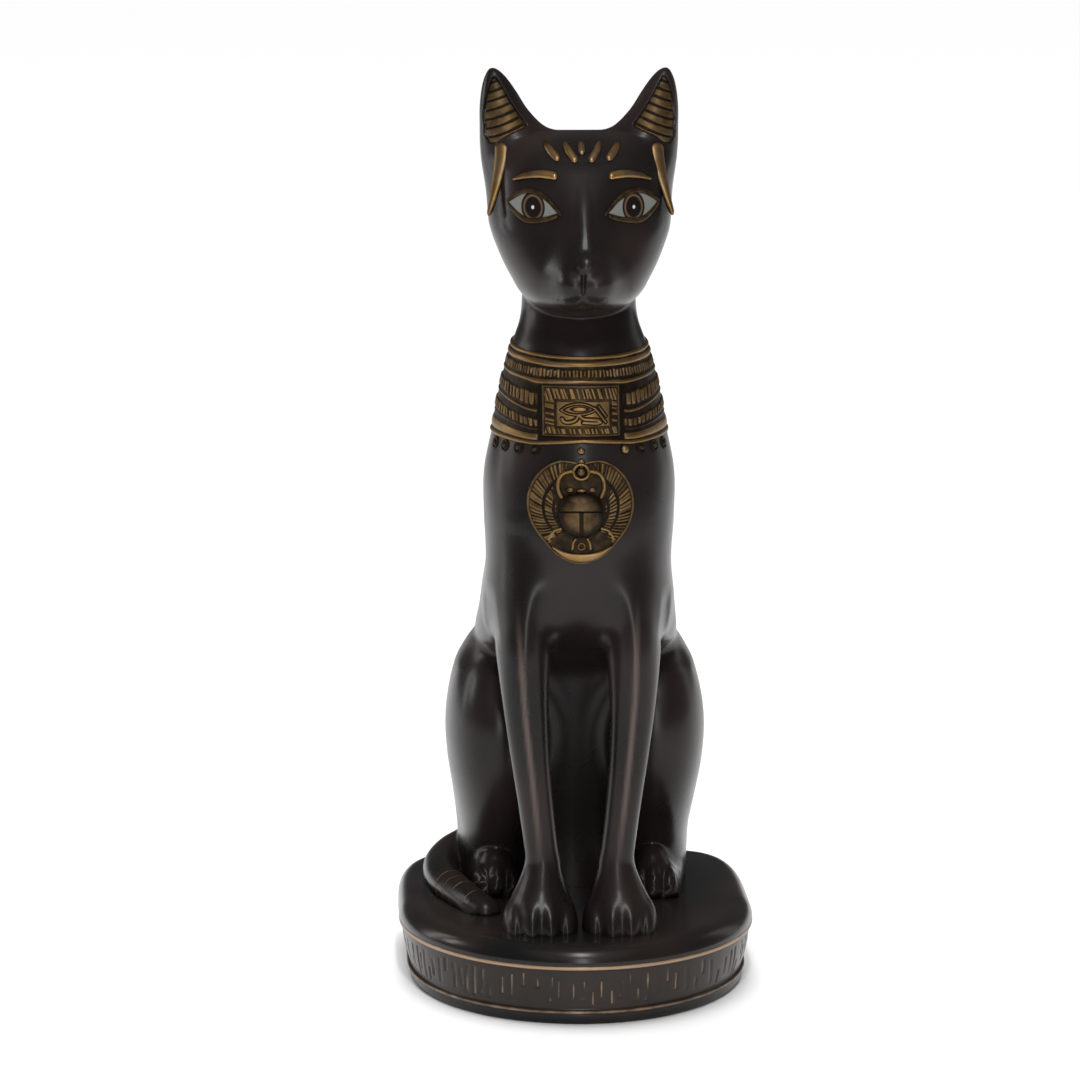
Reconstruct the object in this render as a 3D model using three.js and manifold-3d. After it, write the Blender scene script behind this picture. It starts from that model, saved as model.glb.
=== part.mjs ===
// Seated temple cat with collar and scarab pendant on an oval plinth, cast in one piece.
// Millimetres, +Z up. The cat faces -Y, and the origin is under the middle of the plinth.

import * as THREE from 'three';
import * as BufferGeometryUtils from 'three/addons/utils/BufferGeometryUtils.js';
import Module from 'manifold-3d';

// Driving sizes
const FIGURE_HEIGHT = 274.5; // plinth top to ear tips
const SEAT_DEPTH = 3; // the feet, rump and tail run this far down into the plinth

const PLINTH_HEIGHT = 25.5;
const PLINTH_LEDGE = 8; // bare top left all round the figure's footprint
const PLINTH_FRONT_POWER = 2; // plan's outline: the front half is an ellipse,
const PLINTH_BACK_POWER = 5; // and the back half is squarer
const LIP_RADIUS = 6.2; // rounded upper edge
const RIDGE_WIDTH = 1.7; // raised line above and below the inscribed band
const BAND_DEPTH = 1.1; // the band lies this far behind its ridges
const BAND_TAPER_SIDE = 2.8; // the band curves in by this towards the foot
const BAND_TAPER_FRONT = 0.2;
const TAPER_AT_MIDDLE = 0.25; // share of the taper reached half way down the band
const FOOT_HEIGHT = 3.2; // rounding below the lower ridge
const FOOT_INSET = 1.4;

const COLLAR_THICKNESS = 0.8;
const COLLAR_RIDGE = 0.5; // how far the collar's edge bands stand above its rows
const PLAQUE_WIDTH = 26.1;
const PLAQUE_HEIGHT = 15.8;
const PLAQUE_THICKNESS = 1.2; // over the collar
const PENDANT_THICKNESS = 1.5;
const BEETLE_HEIGHT = 3.4; // top of the beetle's back above the chest
const BROW_THICKNESS = 1.3;
const MARK_THICKNESS = 1.2; // forehead marks
const STRAP_THICKNESS = 1.3; // tapering strap before each ear
const LID_THICKNESS = 1.1;
const EYE_BULGE = 0.8; // eyeball over the face
const EAR_HOLLOW = 1.6; // depth of the ear's hollow
const GROOVE_WIDTH = 1.1; // mouth, nose and toe lines

// The figure is laid out on a canon of parts, 274.5 of them from its feet to its ear tips.
const CANON = 274.5;
const PART = FIGURE_HEIGHT / CANON;

// Footprint of the figure in parts: from tail bend to haunch, and from toes to rump
const FOOTPRINT_HALF_WIDTH = 50.8;
const FOOTPRINT_HALF_DEPTH = 62.5;
const FIGURE_MIDDLE = 0.6; // the figure sits this far to its left of the plinth's middle

// Upright forms in parts, one row for a level: height, front, back, half-width, middle.
const TRUNK = [
  [-3, 11, 61, 33], [0, 10.5, 61.5, 33.5], [20, 10, 62.5, 35], [45, 6, 61, 35.5],
  [70, 0, 56, 34.5], [80, -5, 53, 33.8], [85, -10, 51, 33.6], [89, -24, 49.5, 33.2],
  [93, -33, 48, 32.8], [99.5, -38, 45.5, 31.8], [114.5, -42, 39.5, 30.2], [129.5, -43, 33, 30.7],
  [144.5, -41, 27, 30.7], [159.5, -37, 21, 28], [174.5, -32, 16.5, 25],
  [186.5, -27, 14, 21.6], [192.5, -23, 13, 19.5], [198, -20.5, 13, 18.6], [212, -20, 13, 18.4],
];
const HEAD = [
  [192, -15, 9, 8.5], [195.4, -20, 10, 11], [197.3, -28, 11, 12.8], [198.7, -35, 12, 14.4],
  [200.3, -39.8, 12.7, 16.3], [202.3, -43, 13.6, 18.4], [204.8, -44.7, 14.7, 20.4],
  [207.5, -45.1, 15.5, 21.9],
  [212.5, -43.8, 17, 24.6], [218, -41.5, 18, 27], [223.5, -39, 18.5, 28.9],
  [228.5, -36.6, 18.5, 29.5], [234.5, -33.8, 18, 29.2], [240.5, -30.5, 16, 28.4],
  [245.5, -27, 13, 26.8], [249.5, -23, 9, 24], [252.5, -17.5, 4.5, 20], [254.6, -10, -1, 14],
];
const EAR = [
  [228, -12, 4, 6, 21], [236, -15, 8, 10.5, 18.9], [243, -16, 9, 12.2, 19.1],
  [250, -14.5, 7, 12.2, 19.8], [256.5, -12, 4.5, 9.8, 22.3], [261.7, -10, 2.5, 7.6, 24.5],
  [266.9, -8.3, 1, 5.7, 25.9], [271, -6.8, -0.2, 3.8, 26.9], [273.4, -5.6, -1.2, 2.1, 27.5],
  [274.5, -4.4, -2.4, 0.8, 27.9],
];
// Opening of the ear: height, half-width, middle
const EAR_OPENING = [
  [250.9, 1, 27.8], [253.5, 3.2, 26.2], [256.1, 6, 23.5], [258.5, 5.6, 24.1],
  [262, 4.2, 25.2], [266, 2.7, 26.1], [269.5, 1.3, 26.7], [271.4, 0.4, 26.9],
];
const FORELEG = [
  [-3, -52, -33, 9.6, 12.9], [4, -52.5, -33, 9.9, 12.9], [9, -52, -33, 9.4, 12.7],
  [14, -50.5, -33.5, 7.9, 12.4], [18.5, -48.5, -34, 6.2, 12.1], [22, -47.3, -34.5, 5.65, 11.95],
  [26.5, -47, -34.8, 5.45, 12.55], [38.5, -46.8, -34, 5.55, 13.85], [54.5, -46.5, -32.5, 6, 15.5],
  [71.5, -46, -29, 6.95, 16.9], [82, -45.7, -22, 8, 17.3], [90.5, -45.3, -12, 9.1, 17.5],
  [100, -44.5, -4, 10.2, 17.6], [113.5, -43, 2, 11.6, 17.6], [125, -41, 4, 12, 17.4],
  [135, -37, 4, 11, 16], [142, -32, 2, 9, 14],
];
const HAUNCH = [
  [-3, 8, 52, 11.8, 26], [4, 7, 52.5, 11.9, 26], [14, 4.5, 53.5, 12.2, 26], [20, 1, 54, 12.7, 26],
  [32, -7, 54.5, 14.7, 26], [43, -11.5, 54.5, 16.5, 26], [54.5, -13, 54, 17.3, 26],
  [64.8, -11.5, 52, 16.4, 26], [74.8, -6.5, 48.5, 13.8, 26], [79.6, -1.5, 45, 11.1, 25.8],
  [84, 5, 40, 7.6, 25], [87.5, 16, 31, 3, 24],
];

// Places in parts
const FORELEG_SHIFT = -1.4; // both forelegs stand a little to the cat's right
const HIND_FOOT_LEAD = 3.5; // the left hind paw stands this far forward of the right one
const TAIL_PATH = [
  [-16, 52, 7.5], [-29, 51, 6.8], [-38.6, 43.5, 5.4], [-43.8, 32, 4.2], [-45, 20, 3.6],
  [-43.9, 8.5, 3.4], [-41.2, -2.3, 3.2], [-37.8, -11.4, 3], [-34.2, -18.6, 3],
  [-31, -22.2, 3],
];
const TAIL_ROOT_RADIUS = 7.2;
const TAIL_TIP_RADIUS = 5.1;
const COLLAR_FOOT = 157.5;
const COLLAR_HEIGHT = 28.8; // at the sides
const COLLAR_TILT = 0.133; // the upper edge drops by this much for each part towards the front
const PLAQUE_MIDDLE = 167.3;
const PENDANT = { x: -1, z: 135.4 };
const BEETLE = { x: -0.8, z: 134.3, halfWidth: 6.7, halfHeight: 7.1 };
const SUN_DISC = { x: -1, z: 148, radius: 2.8 };
const CRESCENT = [[-9.6, 124.6], [-5.6, 122], [-0.9, 120.9], [3.8, 122], [7.6, 124.6]];
// Heart outline of the pendant: angle from the cat's left side in degrees, radius
const HEART = [
  [-90, 16.4], [-66, 15.9], [-38, 15.2], [-10, 16.6], [19, 18.1], [46, 18.6], [66, 18],
  [80, 16.4], [90, 15.3],
];
// Face, as x and height in parts
const BROW = [[7.9, 241.6], [10.4, 242.6], [14.3, 242.9], [18.3, 242], [21.8, 240]];
const FOREHEAD_MARKS = [
  { top: [0.5, 250.9], foot: [0.6, 247.6] }, { top: [5.6, 250.6], foot: [2.3, 245.9] },
  { top: [-4.6, 250.6], foot: [-1.4, 245.9] }, { top: [12.4, 250.9], foot: [8.2, 246.2] },
  { top: [-11.4, 250.9], foot: [-7.2, 246.2] },
];
const UPPER_LID = [[6.7, 229.9], [10.6, 234.2], [15.8, 236.8], [20, 236.3], [24.2, 233.2]];
const LOWER_LID = [[6.7, 229.9], [11.5, 228.2], [17.2, 227.6], [21.4, 230], [24.2, 233.2]];
const EYE = { x: 15.6, z: 232, halfWidth: 7.8, halfHeight: 4.4 };
const STRAP = [[25.6, 249.4], [26.8, 244], [27.7, 238], [28.3, 233], [28.8, 228.6]];
const STRAP_RADII = [2.3, 2.5, 1.9, 1.4, 0.7];
// Rise of the middle of the face over the cheeks: height, rise, half-width. From the top it is
// the ridge between the eyes, then the muzzle and the chin.
const FACE_RISE = [
  [194, 0, 9], [197.5, 0.6, 11], [201, 2.7, 13], [205, 4.7, 14.4], [209, 5.7, 15], [213, 5.9, 14.4],
  [216.5, 6, 12.4], [220, 5.7, 10.4], [227, 4.2, 9.4], [234, 2.5, 9.8], [240, 1, 11], [246, 0, 12],
];
const MUZZLE_PAD = { x: 5.2, z: 209.2, halfWidth: 6.6, halfHeight: 6.8, rise: 1.3 };
const NOSE = { x: 0.6, z: 216, size: [3.2, 3, 2.9] };
const LIP_LINE = [[9.4, 204.2], [6.2, 203.2], [3, 203.8], [0.4, 206]];
const PHILTRUM = [[0.4, 206], [0.5, 209.8], [0.6, 213.6]];
const FRONT_TOES = [
  { x: -8, y: -48.8, size: [3.1, 7.2, 10.6] }, { x: -2.8, y: -49.8, size: [3.3, 8.6, 12.2] },
  { x: 2.8, y: -49.8, size: [3.3, 8.6, 12.2] }, { x: 8, y: -48.8, size: [3.1, 7.2, 10.6] },
];
const HIND_TOES = [
  { x: -5, y: 4, size: [3, 6.6, 11.4] }, { x: 0, y: 3.4, size: [3.1, 7.6, 12.6] },
  { x: 5, y: 4, size: [3, 6.6, 11.4] },
];
const HIND_PAW = { x: 26.2, y: 8, size: [8, 10.5, 12] };
const HIND_FOOT = { x: 28.6, y: 30, size: [9.6, 32, 10.5] };

const wasm = await Module();
wasm.setup();

/** Smooth curve through rows that start with a key: gives the other columns at any key. */
function track(rows) {
  const last = rows.length - 1;
  const slope = (row, column) => {
    const before = rows[Math.max(row - 1, 0)];
    const after = rows[Math.min(row + 1, last)];
    return (after[column] - before[column]) / (after[0] - before[0]);
  };
  return (key) => {
    const held = THREE.MathUtils.clamp(key, rows[0][0], rows[last][0]);
    let low = 0;
    while (low < last - 1 && held > rows[low + 1][0]) low += 1;
    const span = rows[low + 1][0] - rows[low][0];
    const t = (held - rows[low][0]) / span;
    return rows[low].slice(1).map((start, index) => {
      const end = rows[low + 1][index + 1];
      const leave = slope(low, index + 1) * span;
      const arrive = slope(low + 1, index + 1) * span;
      const bend = t * t * (3 - 2 * t);
      return start + (end - start) * bend + leave * t * (1 - t) * (1 - t) + arrive * t * t * (t - 1);
    });
  };
}

/** Section at each height of a form written in parts, in millimetres above the plinth top. */
function formOf(rows, power = 2) {
  const at = track(rows);
  return (height) => {
    const [front, back, halfWidth, middle = 0] = at(height / PART).map((part) => part * PART);
    return { front, back, halfWidth, middle, power };
  };
}

/** Point on a section's outline at an angle, moved out by a margin. */
function outline(section, angle, margin = 0) {
  const power = angle > 0 ? section.backPower ?? section.power : section.power;
  const bent = (value) => Math.sign(value) * Math.abs(value) ** (2 / power);
  const halfDepth = (section.back - section.front) / 2;
  return [
    section.middle + (section.halfWidth + margin) * bent(Math.cos(angle)),
    (section.front + section.back) / 2 + (halfDepth + margin) * bent(Math.sin(angle)),
  ];
}

/** Front surface of a form at a place across it. */
function frontOf(form, x, height) {
  const section = form(height);
  const across = Math.min(Math.abs((x - section.middle) / section.halfWidth), 0.98);
  const halfDepth = (section.back - section.front) / 2;
  const reach = (1 - across ** section.power) ** (1 / section.power);
  return (section.front + section.back) / 2 - halfDepth * reach;
}

/** Moves each vertex of a geometry to the place that a function gives for it. */
function moved(geometry, place) {
  const position = geometry.attributes.position;
  for (let index = 0; index < position.count; index += 1) {
    const point = place(new THREE.Vector3().fromBufferAttribute(position, index));
    position.setXYZ(index, point.x, point.y, point.z);
  }
  return geometry;
}

/** Unit cylinder bent to an outline at each of its levels, with flat ends. */
function bentCylinder(levelCount, sides, place) {
  const geometry = new THREE.CylinderGeometry(1, 1, 1, sides, levelCount - 1);
  return moved(geometry.rotateX(Math.PI / 2), (point) => {
    const level = Math.round((point.z + 0.5) * (levelCount - 1));
    return place(level, Math.atan2(point.y, point.x), Math.hypot(point.x, point.y));
  });
}

/** Upright body through the given heights of a form. */
function uprightBody(form, heights, sides) {
  return bentCylinder(heights.length, sides, (level, angle, radius) => {
    const section = form(heights[level]);
    const [x, y] = outline(section, angle);
    const core = [section.middle, (section.front + section.back) / 2];
    return new THREE.Vector3(
      THREE.MathUtils.lerp(core[0], x, radius),
      THREE.MathUtils.lerp(core[1], y, radius),
      heights[level],
    );
  });
}

/** Heights of a form's own rows, in millimetres. */
function rowHeights(rows) {
  return rows.map((row) => row[0] * PART);
}

/** Round limb along a path, its radius running from one list of values, square to `up`. */
function limb(path, radiusAt, segments, sides, up) {
  const curve = new THREE.CatmullRomCurve3(path);
  return bentCylinder(segments + 1, sides, (level, angle, radius) => {
    const t = level / segments;
    const along = curve.getTangent(t);
    const side = new THREE.Vector3().crossVectors(up, along).normalize();
    const lift = new THREE.Vector3().crossVectors(along, side);
    const reach = radius * radiusAt(t);
    return curve.getPoint(t)
      .addScaledVector(side, reach * Math.cos(angle))
      .addScaledVector(lift, reach * Math.sin(angle));
  });
}

/** Ellipsoid with its sizes and place in millimetres. */
function ellipsoid(place, size, around = 12, down = 7) {
  const ball = new THREE.SphereGeometry(1, around, down).rotateX(Math.PI / 2);
  return ball.scale(...size).translate(...place);
}

/** Mirror image across the middle plane, with its faces still pointing out. */
function mirrored(geometry) {
  const image = geometry.clone().scale(-1, 1, 1);
  const index = image.index.array;
  for (let corner = 0; corner < index.length; corner += 3) {
    [index[corner], index[corner + 1]] = [index[corner + 1], index[corner]];
  }
  return image;
}

/** Both of a pair: the geometry on the cat's left side and its mirror image. */
function pair(geometry) {
  return [geometry, mirrored(geometry)];
}

/** Closed solid of a geometry, with the vertices that lie on each other merged. */
function solid(geometry) {
  const bare = geometry.clone();
  bare.deleteAttribute('normal');
  bare.deleteAttribute('uv');
  const merged = BufferGeometryUtils.mergeVertices(bare);
  return new wasm.Manifold(new wasm.Mesh({
    numProp: 3,
    vertProperties: new Float32Array(merged.attributes.position.array),
    triVerts: new Uint32Array(merged.index.array),
  }));
}

const parts = (...values) => values.map((value) => value * PART);
const vectors = (rows) => rows.map((row) => new THREE.Vector3(...parts(...row)));
const UP = new THREE.Vector3(0, 0, 1);
const FORWARD = new THREE.Vector3(0, -1, 0);

const trunkForm = formOf(TRUNK);
const headForm = formOf(HEAD);

const faceRise = track(FACE_RISE);

/** Smooth mound: 1 at its middle and 0 from a distance of 1 on. */
function mound(distance) {
  return Math.max(1 - distance ** 2, 0) ** 2;
}

/** How far the ridge, muzzle and chin stand in front of the skull. */
function riseOfFace(x, height) {
  const [across, up] = [x / PART, height / PART];
  const [rise, halfWidth] = faceRise(up);
  const pad = Math.hypot(
    (Math.abs(across) - MUZZLE_PAD.x) / MUZZLE_PAD.halfWidth,
    (up - MUZZLE_PAD.z) / MUZZLE_PAD.halfHeight,
  );
  return PART * (rise * mound(across / halfWidth) + MUZZLE_PAD.rise * mound(pad));
}

const chestAt = (x, height) => frontOf(trunkForm, x, height);
const faceAt = (x, height) => frontOf(headForm, x, height) - riseOfFace(x, height);

/** Points of a line drawn on a surface, given across it and up it in parts. */
function drawnOn(surface, rows, proud = 0) {
  return rows.map(([x, z]) => {
    const [across, height] = parts(x, z);
    return new THREE.Vector3(across, surface(across, height) - proud, height);
  });
}

/** Levels of the plinth from its underside to its top: height, side inset, front inset. */
function plinthLevels() {
  const levels = [];
  const arcSteps = 3;
  const bandFoot = FOOT_HEIGHT + RIDGE_WIDTH;
  const bandHead = PLINTH_HEIGHT - LIP_RADIUS - RIDGE_WIDTH;
  const addLevel = (height, inset, taper = 0) => {
    levels.push([height, inset + BAND_TAPER_SIDE * taper, inset + BAND_TAPER_FRONT * taper]);
  };
  for (let step = 0; step <= arcSteps; step += 1) {
    const turn = (step / arcSteps) * (Math.PI / 2);
    addLevel(FOOT_HEIGHT * (1 - Math.cos(turn)), FOOT_INSET * (1 - Math.sin(turn)) + BAND_DEPTH / 2, 1);
  }
  addLevel(FOOT_HEIGHT + RIDGE_WIDTH / 2, 0, 1);
  addLevel(bandFoot, BAND_DEPTH, 1);
  addLevel((bandFoot + bandHead) / 2, BAND_DEPTH, TAPER_AT_MIDDLE);
  addLevel(bandHead, BAND_DEPTH);
  addLevel(bandHead + RIDGE_WIDTH / 2, 0);
  addLevel(bandHead + RIDGE_WIDTH, BAND_DEPTH / 3);
  for (let step = 1; step <= arcSteps; step += 1) {
    const turn = (step / arcSteps) * (Math.PI / 2);
    addLevel(PLINTH_HEIGHT - LIP_RADIUS * (1 - Math.sin(turn)), LIP_RADIUS * (1 - Math.cos(turn)));
  }
  return levels;
}

/** Plinth with a ledge round the figure's footprint. */
function plinth() {
  const sides = 40;
  const levels = plinthLevels();
  const halfWidth = FOOTPRINT_HALF_WIDTH * PART + PLINTH_LEDGE;
  const halfDepth = FOOTPRINT_HALF_DEPTH * PART + PLINTH_LEDGE;
  return bentCylinder(levels.length, sides, (level, angle, radius) => {
    const [height, sideInset, frontInset] = levels[level];
    const section = {
      front: frontInset - halfDepth,
      back: halfDepth - frontInset,
      halfWidth: halfWidth - sideInset,
      middle: 0,
      power: PLINTH_FRONT_POWER,
      backPower: PLINTH_BACK_POWER,
    };
    const [x, y] = outline(section, angle);
    return new THREE.Vector3(x * radius, y * radius, height - PLINTH_HEIGHT);
  });
}

/** Trunk, neck, haunches and shoulders with the forelegs. */
function bodyMasses() {
  const trunk = uprightBody(trunkForm, [-SEAT_DEPTH, ...rowHeights(TRUNK).slice(1)], 22);
  const haunch = uprightBody(formOf(HAUNCH, 2.2), [-SEAT_DEPTH, ...rowHeights(HAUNCH).slice(1)], 14);
  const foreleg = uprightBody(formOf(FORELEG), [-SEAT_DEPTH, ...rowHeights(FORELEG).slice(1)], 10);
  const forelegs = pair(foreleg).map((leg) => leg.translate(FORELEG_SHIFT * PART, 0, 0));
  return [trunk, ...pair(haunch), ...forelegs];
}

/** Toes of one paw, set round its middle. */
function toes(rows, middle, lead = 0) {
  return rows.map((toe) => ellipsoid(parts(middle + toe.x, toe.y - lead, 0), parts(...toe.size), 8, 5));
}

/** Four toes on each front paw. */
function frontPaws() {
  const middle = FORELEG[0][4];
  return [1, -1].flatMap((side) => toes(FRONT_TOES, side * middle + FORELEG_SHIFT));
}

/** Long hind feet with three toes showing on each. */
function hindPaws() {
  return [1, -1].flatMap((side) => {
    const lead = side > 0 ? HIND_FOOT_LEAD : 0;
    const paw = parts(side * HIND_PAW.x, HIND_PAW.y - lead, 0);
    const foot = parts(side * HIND_FOOT.x, HIND_FOOT.y - lead, 0);
    return [
      ellipsoid(paw, parts(...HIND_PAW.size)),
      ellipsoid(foot, parts(...HIND_FOOT.size), 12, 6),
      ...toes(HIND_TOES, side * HIND_PAW.x, lead),
    ];
  });
}

/** Tail lying on the plinth, from the rump round the cat's right side to beside its paws. */
function tail() {
  const path = vectors(TAIL_PATH);
  const radiusAt = (t) => PART * THREE.MathUtils.lerp(TAIL_ROOT_RADIUS, TAIL_TIP_RADIUS, t ** 0.7);
  const end = path[path.length - 1];
  const tip = new Array(3).fill(TAIL_TIP_RADIUS * PART);
  return [limb(path, radiusAt, 15, 9, UP), ellipsoid(end.toArray(), tip, 10, 7)];
}

/** Head with its muzzle, chin, nose and the ridge between the eyes, finer in front than behind. */
function headMasses() {
  const faceFoot = 197.3;
  const faceStep = 3;
  const faceLevels = 17;
  const onFace = Array.from({ length: faceLevels }, (_, level) => faceFoot + faceStep * level);
  const above = HEAD.map((row) => row[0]).filter((height) => height > onFace.at(-1));
  const below = HEAD.map((row) => row[0]).filter((height) => height < faceFoot);
  const heights = [...below, ...onFace, ...above].map((height) => height * PART);
  const crowding = 0.45;
  const skull = bentCylinder(heights.length, 26, (level, angle, radius) => {
    const height = heights[level];
    const section = headForm(height);
    const turned = angle + crowding * Math.cos(angle);
    const [x, y] = outline(section, turned);
    const core = (section.front + section.back) / 2;
    const front = y < core ? riseOfFace(x, height) * Math.min((core - y) / (core - section.front), 1) : 0;
    return new THREE.Vector3(x * radius, THREE.MathUtils.lerp(core, y - front, radius), height);
  });
  const [noseX, noseZ] = parts(NOSE.x, NOSE.z);
  const nosePlace = [noseX, faceAt(noseX, noseZ) + NOSE.size[1] * PART / 2, noseZ];
  const nose = ellipsoid(nosePlace, parts(...NOSE.size), 10, 6);
  return [skull, nose];
}

/** Tall ears, and the hollows that are cut into their fronts. */
function ears() {
  const earForm = formOf(EAR);
  const opening = track(EAR_OPENING);
  const hollowForm = (height) => {
    const [halfWidth, middle] = opening(height / PART).map((part) => part * PART);
    const face = frontOf(earForm, middle, height);
    const outside = PART * 12;
    return { front: face - outside, back: face + EAR_HOLLOW, halfWidth, middle, power: 2.6 };
  };
  const ear = uprightBody(earForm, rowHeights(EAR), 14);
  const hollow = uprightBody(hollowForm, rowHeights(EAR_OPENING), 10);
  return { solids: pair(ear), hollows: pair(hollow) };
}

/** Brows, forehead marks, eyelids, eyeballs and the straps before the ears. */
function faceRelief() {
  const line = (rows, thickness, segments, radii) => {
    const even = new Array(rows.length).fill(1);
    const swell = track((radii ?? even).map((radius, index) => [index / (rows.length - 1), radius]));
    const radiusAt = (t) => thickness * swell(t)[0];
    return limb(drawnOn(faceAt, rows), radiusAt, segments, 5, FORWARD);
  };
  const brow = line(BROW, BROW_THICKNESS, 4, [1, 1, 0.9, 0.8, 0.4]);
  const lids = [UPPER_LID, LOWER_LID].map((rows) => line(rows, LID_THICKNESS, 5));
  const strapShare = STRAP_RADII.map((radius) => (radius * PART) / STRAP_THICKNESS);
  const strap = line(STRAP, STRAP_THICKNESS, 4, strapShare);
  const marks = FOREHEAD_MARKS.map((mark) => line([mark.top, mark.foot], MARK_THICKNESS, 1));
  const [eyeX, eyeZ] = parts(EYE.x, EYE.z);
  const eyeSize = [EYE.halfWidth * PART, EYE_BULGE, EYE.halfHeight * PART];
  const eyeball = moved(ellipsoid([0, 0, 0], eyeSize, 10, 5), (point) => {
    const [x, z] = [eyeX + point.x, eyeZ + point.z];
    const depth = point.y < 0 ? point.y : point.y * 4;
    return new THREE.Vector3(x, faceAt(x, z) + depth, z);
  });
  return [...pair(brow), ...lids.flatMap(pair), ...pair(strap), ...marks, ...pair(eyeball)];
}

/** Lip line and the groove below the nose. */
function mouthGrooves() {
  const radiusAt = () => GROOVE_WIDTH / 2;
  const lip = limb(drawnOn(faceAt, LIP_LINE), radiusAt, 4, 5, UP);
  const groove = limb(drawnOn(faceAt, PHILTRUM), radiusAt, 2, 5, FORWARD);
  return [...pair(lip), groove];
}

/** Broad collar that follows the neck and shoulders, with raised edges and three rows. */
function collar() {
  const rims = [0, 0.03, 0.16, 0.2, 0.24, 0.46, 0.5, 0.54, 0.76, 0.8, 0.88, 0.97, 1];
  const raised = [0, 1, 1, 1, 0, 0, 0.6, 0, 0, 0.8, 0.8, 1, 0];
  return bentCylinder(rims.length, 22, (level, angle, radius) => {
    const share = rims[level];
    const seat = (COLLAR_FOOT + COLLAR_HEIGHT * share) * PART;
    const margin = COLLAR_THICKNESS + COLLAR_RIDGE * raised[level];
    const [, flatY] = outline(trunkForm(seat), angle, margin);
    const height = seat + share * COLLAR_TILT * (flatY * radius + 7 * PART);
    const [x, y] = outline(trunkForm(height), angle, margin);
    return new THREE.Vector3(x * radius, y * radius, height);
  });
}

/** Plate on the front of the collar, curved with it. */
function plaque() {
  const plate = new THREE.BoxGeometry(PLAQUE_WIDTH, 1, PLAQUE_HEIGHT, 6, 1, 2);
  return moved(plate, (point) => {
    const height = PLAQUE_MIDDLE * PART + point.z;
    const face = chestAt(point.x, height) - COLLAR_THICKNESS;
    const depth = point.y < 0 ? PLAQUE_THICKNESS : -COLLAR_THICKNESS;
    return new THREE.Vector3(point.x, face - depth, height);
  });
}

/** Heart-shaped pendant with the beetle, the disc it holds and the crescent under it. */
function pendant() {
  const heart = track(HEART);
  const plate = new THREE.SphereGeometry(1, 24, 6).rotateX(Math.PI / 2);
  moved(plate, (point) => {
    const angle = Math.atan2(point.z, Math.abs(point.x));
    const reach = Math.hypot(point.x, point.z) ** 0.6 * heart(THREE.MathUtils.radToDeg(angle))[0];
    const x = PART * (PENDANT.x + Math.sign(point.x) * reach * Math.cos(angle));
    const z = PART * (PENDANT.z + reach * Math.sin(angle));
    return new THREE.Vector3(x, chestAt(x, z) + point.y * PENDANT_THICKNESS, z);
  });
  const [beetleX, beetleZ] = parts(BEETLE.x, BEETLE.z);
  const beetleSize = [BEETLE.halfWidth * PART, BEETLE_HEIGHT, BEETLE.halfHeight * PART];
  const beetle = ellipsoid([beetleX, chestAt(beetleX, beetleZ), beetleZ], beetleSize, 14, 8);
  const [discX, discZ] = parts(SUN_DISC.x, SUN_DISC.z);
  const discRadius = SUN_DISC.radius * PART;
  const discPlace = [discX, chestAt(discX, discZ), discZ];
  const disc = ellipsoid(discPlace, [discRadius, PENDANT_THICKNESS * 1.6, discRadius], 10, 6);
  const crescentPath = drawnOn(chestAt, CRESCENT, PENDANT_THICKNESS * 0.6);
  const crescentRadius = (t) => PART * (0.7 + 0.8 * Math.sin(Math.PI * t));
  const crescent = limb(crescentPath, crescentRadius, 6, 6, FORWARD);
  return [plate, beetle, disc, crescent];
}

/** The whole casting, standing on the plinth's underside. */
function casting() {
  const ear = ears();
  const figure = [
    ...bodyMasses(), ...frontPaws(), ...hindPaws(), ...tail(), ...headMasses(),
    ...ear.solids, ...faceRelief(), collar(), plaque(), ...pendant(),
  ];
  const inPlace = (geometry) => solid(geometry.translate(FIGURE_MIDDLE * PART, 0, 0));
  const joined = figure.map(inPlace).reduce((sum, mass) => sum.add(mass), solid(plinth()));
  const cuts = [...ear.hollows, ...mouthGrooves()].map(inPlace);
  const mesh = cuts.reduce((rest, cut) => rest.subtract(cut), joined).getMesh();
  const geometry = new THREE.BufferGeometry();
  geometry.setAttribute('position', new THREE.BufferAttribute(mesh.vertProperties, 3));
  geometry.setIndex(new THREE.BufferAttribute(mesh.triVerts, 1));
  geometry.translate(0, 0, PLINTH_HEIGHT);
  geometry.computeVertexNormals();
  return geometry;
}

const resin = new THREE.MeshStandardMaterial({ color: 0x1c1a1b, roughness: 0.3, metalness: 0 });
const figure = new THREE.Mesh(casting(), resin);
figure.name = 'bastet_cat_figure';

const group = new THREE.Group();
group.add(figure);

export default group;
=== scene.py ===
"""Seated temple cat with collar and scarab pendant on an oval plinth: the finished figure.

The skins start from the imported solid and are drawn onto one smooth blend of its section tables.
Collar, plaque, pendant and gilded marks are closed relief pieces laid on them. Tables are in
millimetres, with x from the figure's middle and heights from the plinth's top; the cat faces -Y.
"""

from __future__ import annotations

import logging
import math
from dataclasses import dataclass
from enum import Enum
from typing import Any, Callable, Protocol

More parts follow.
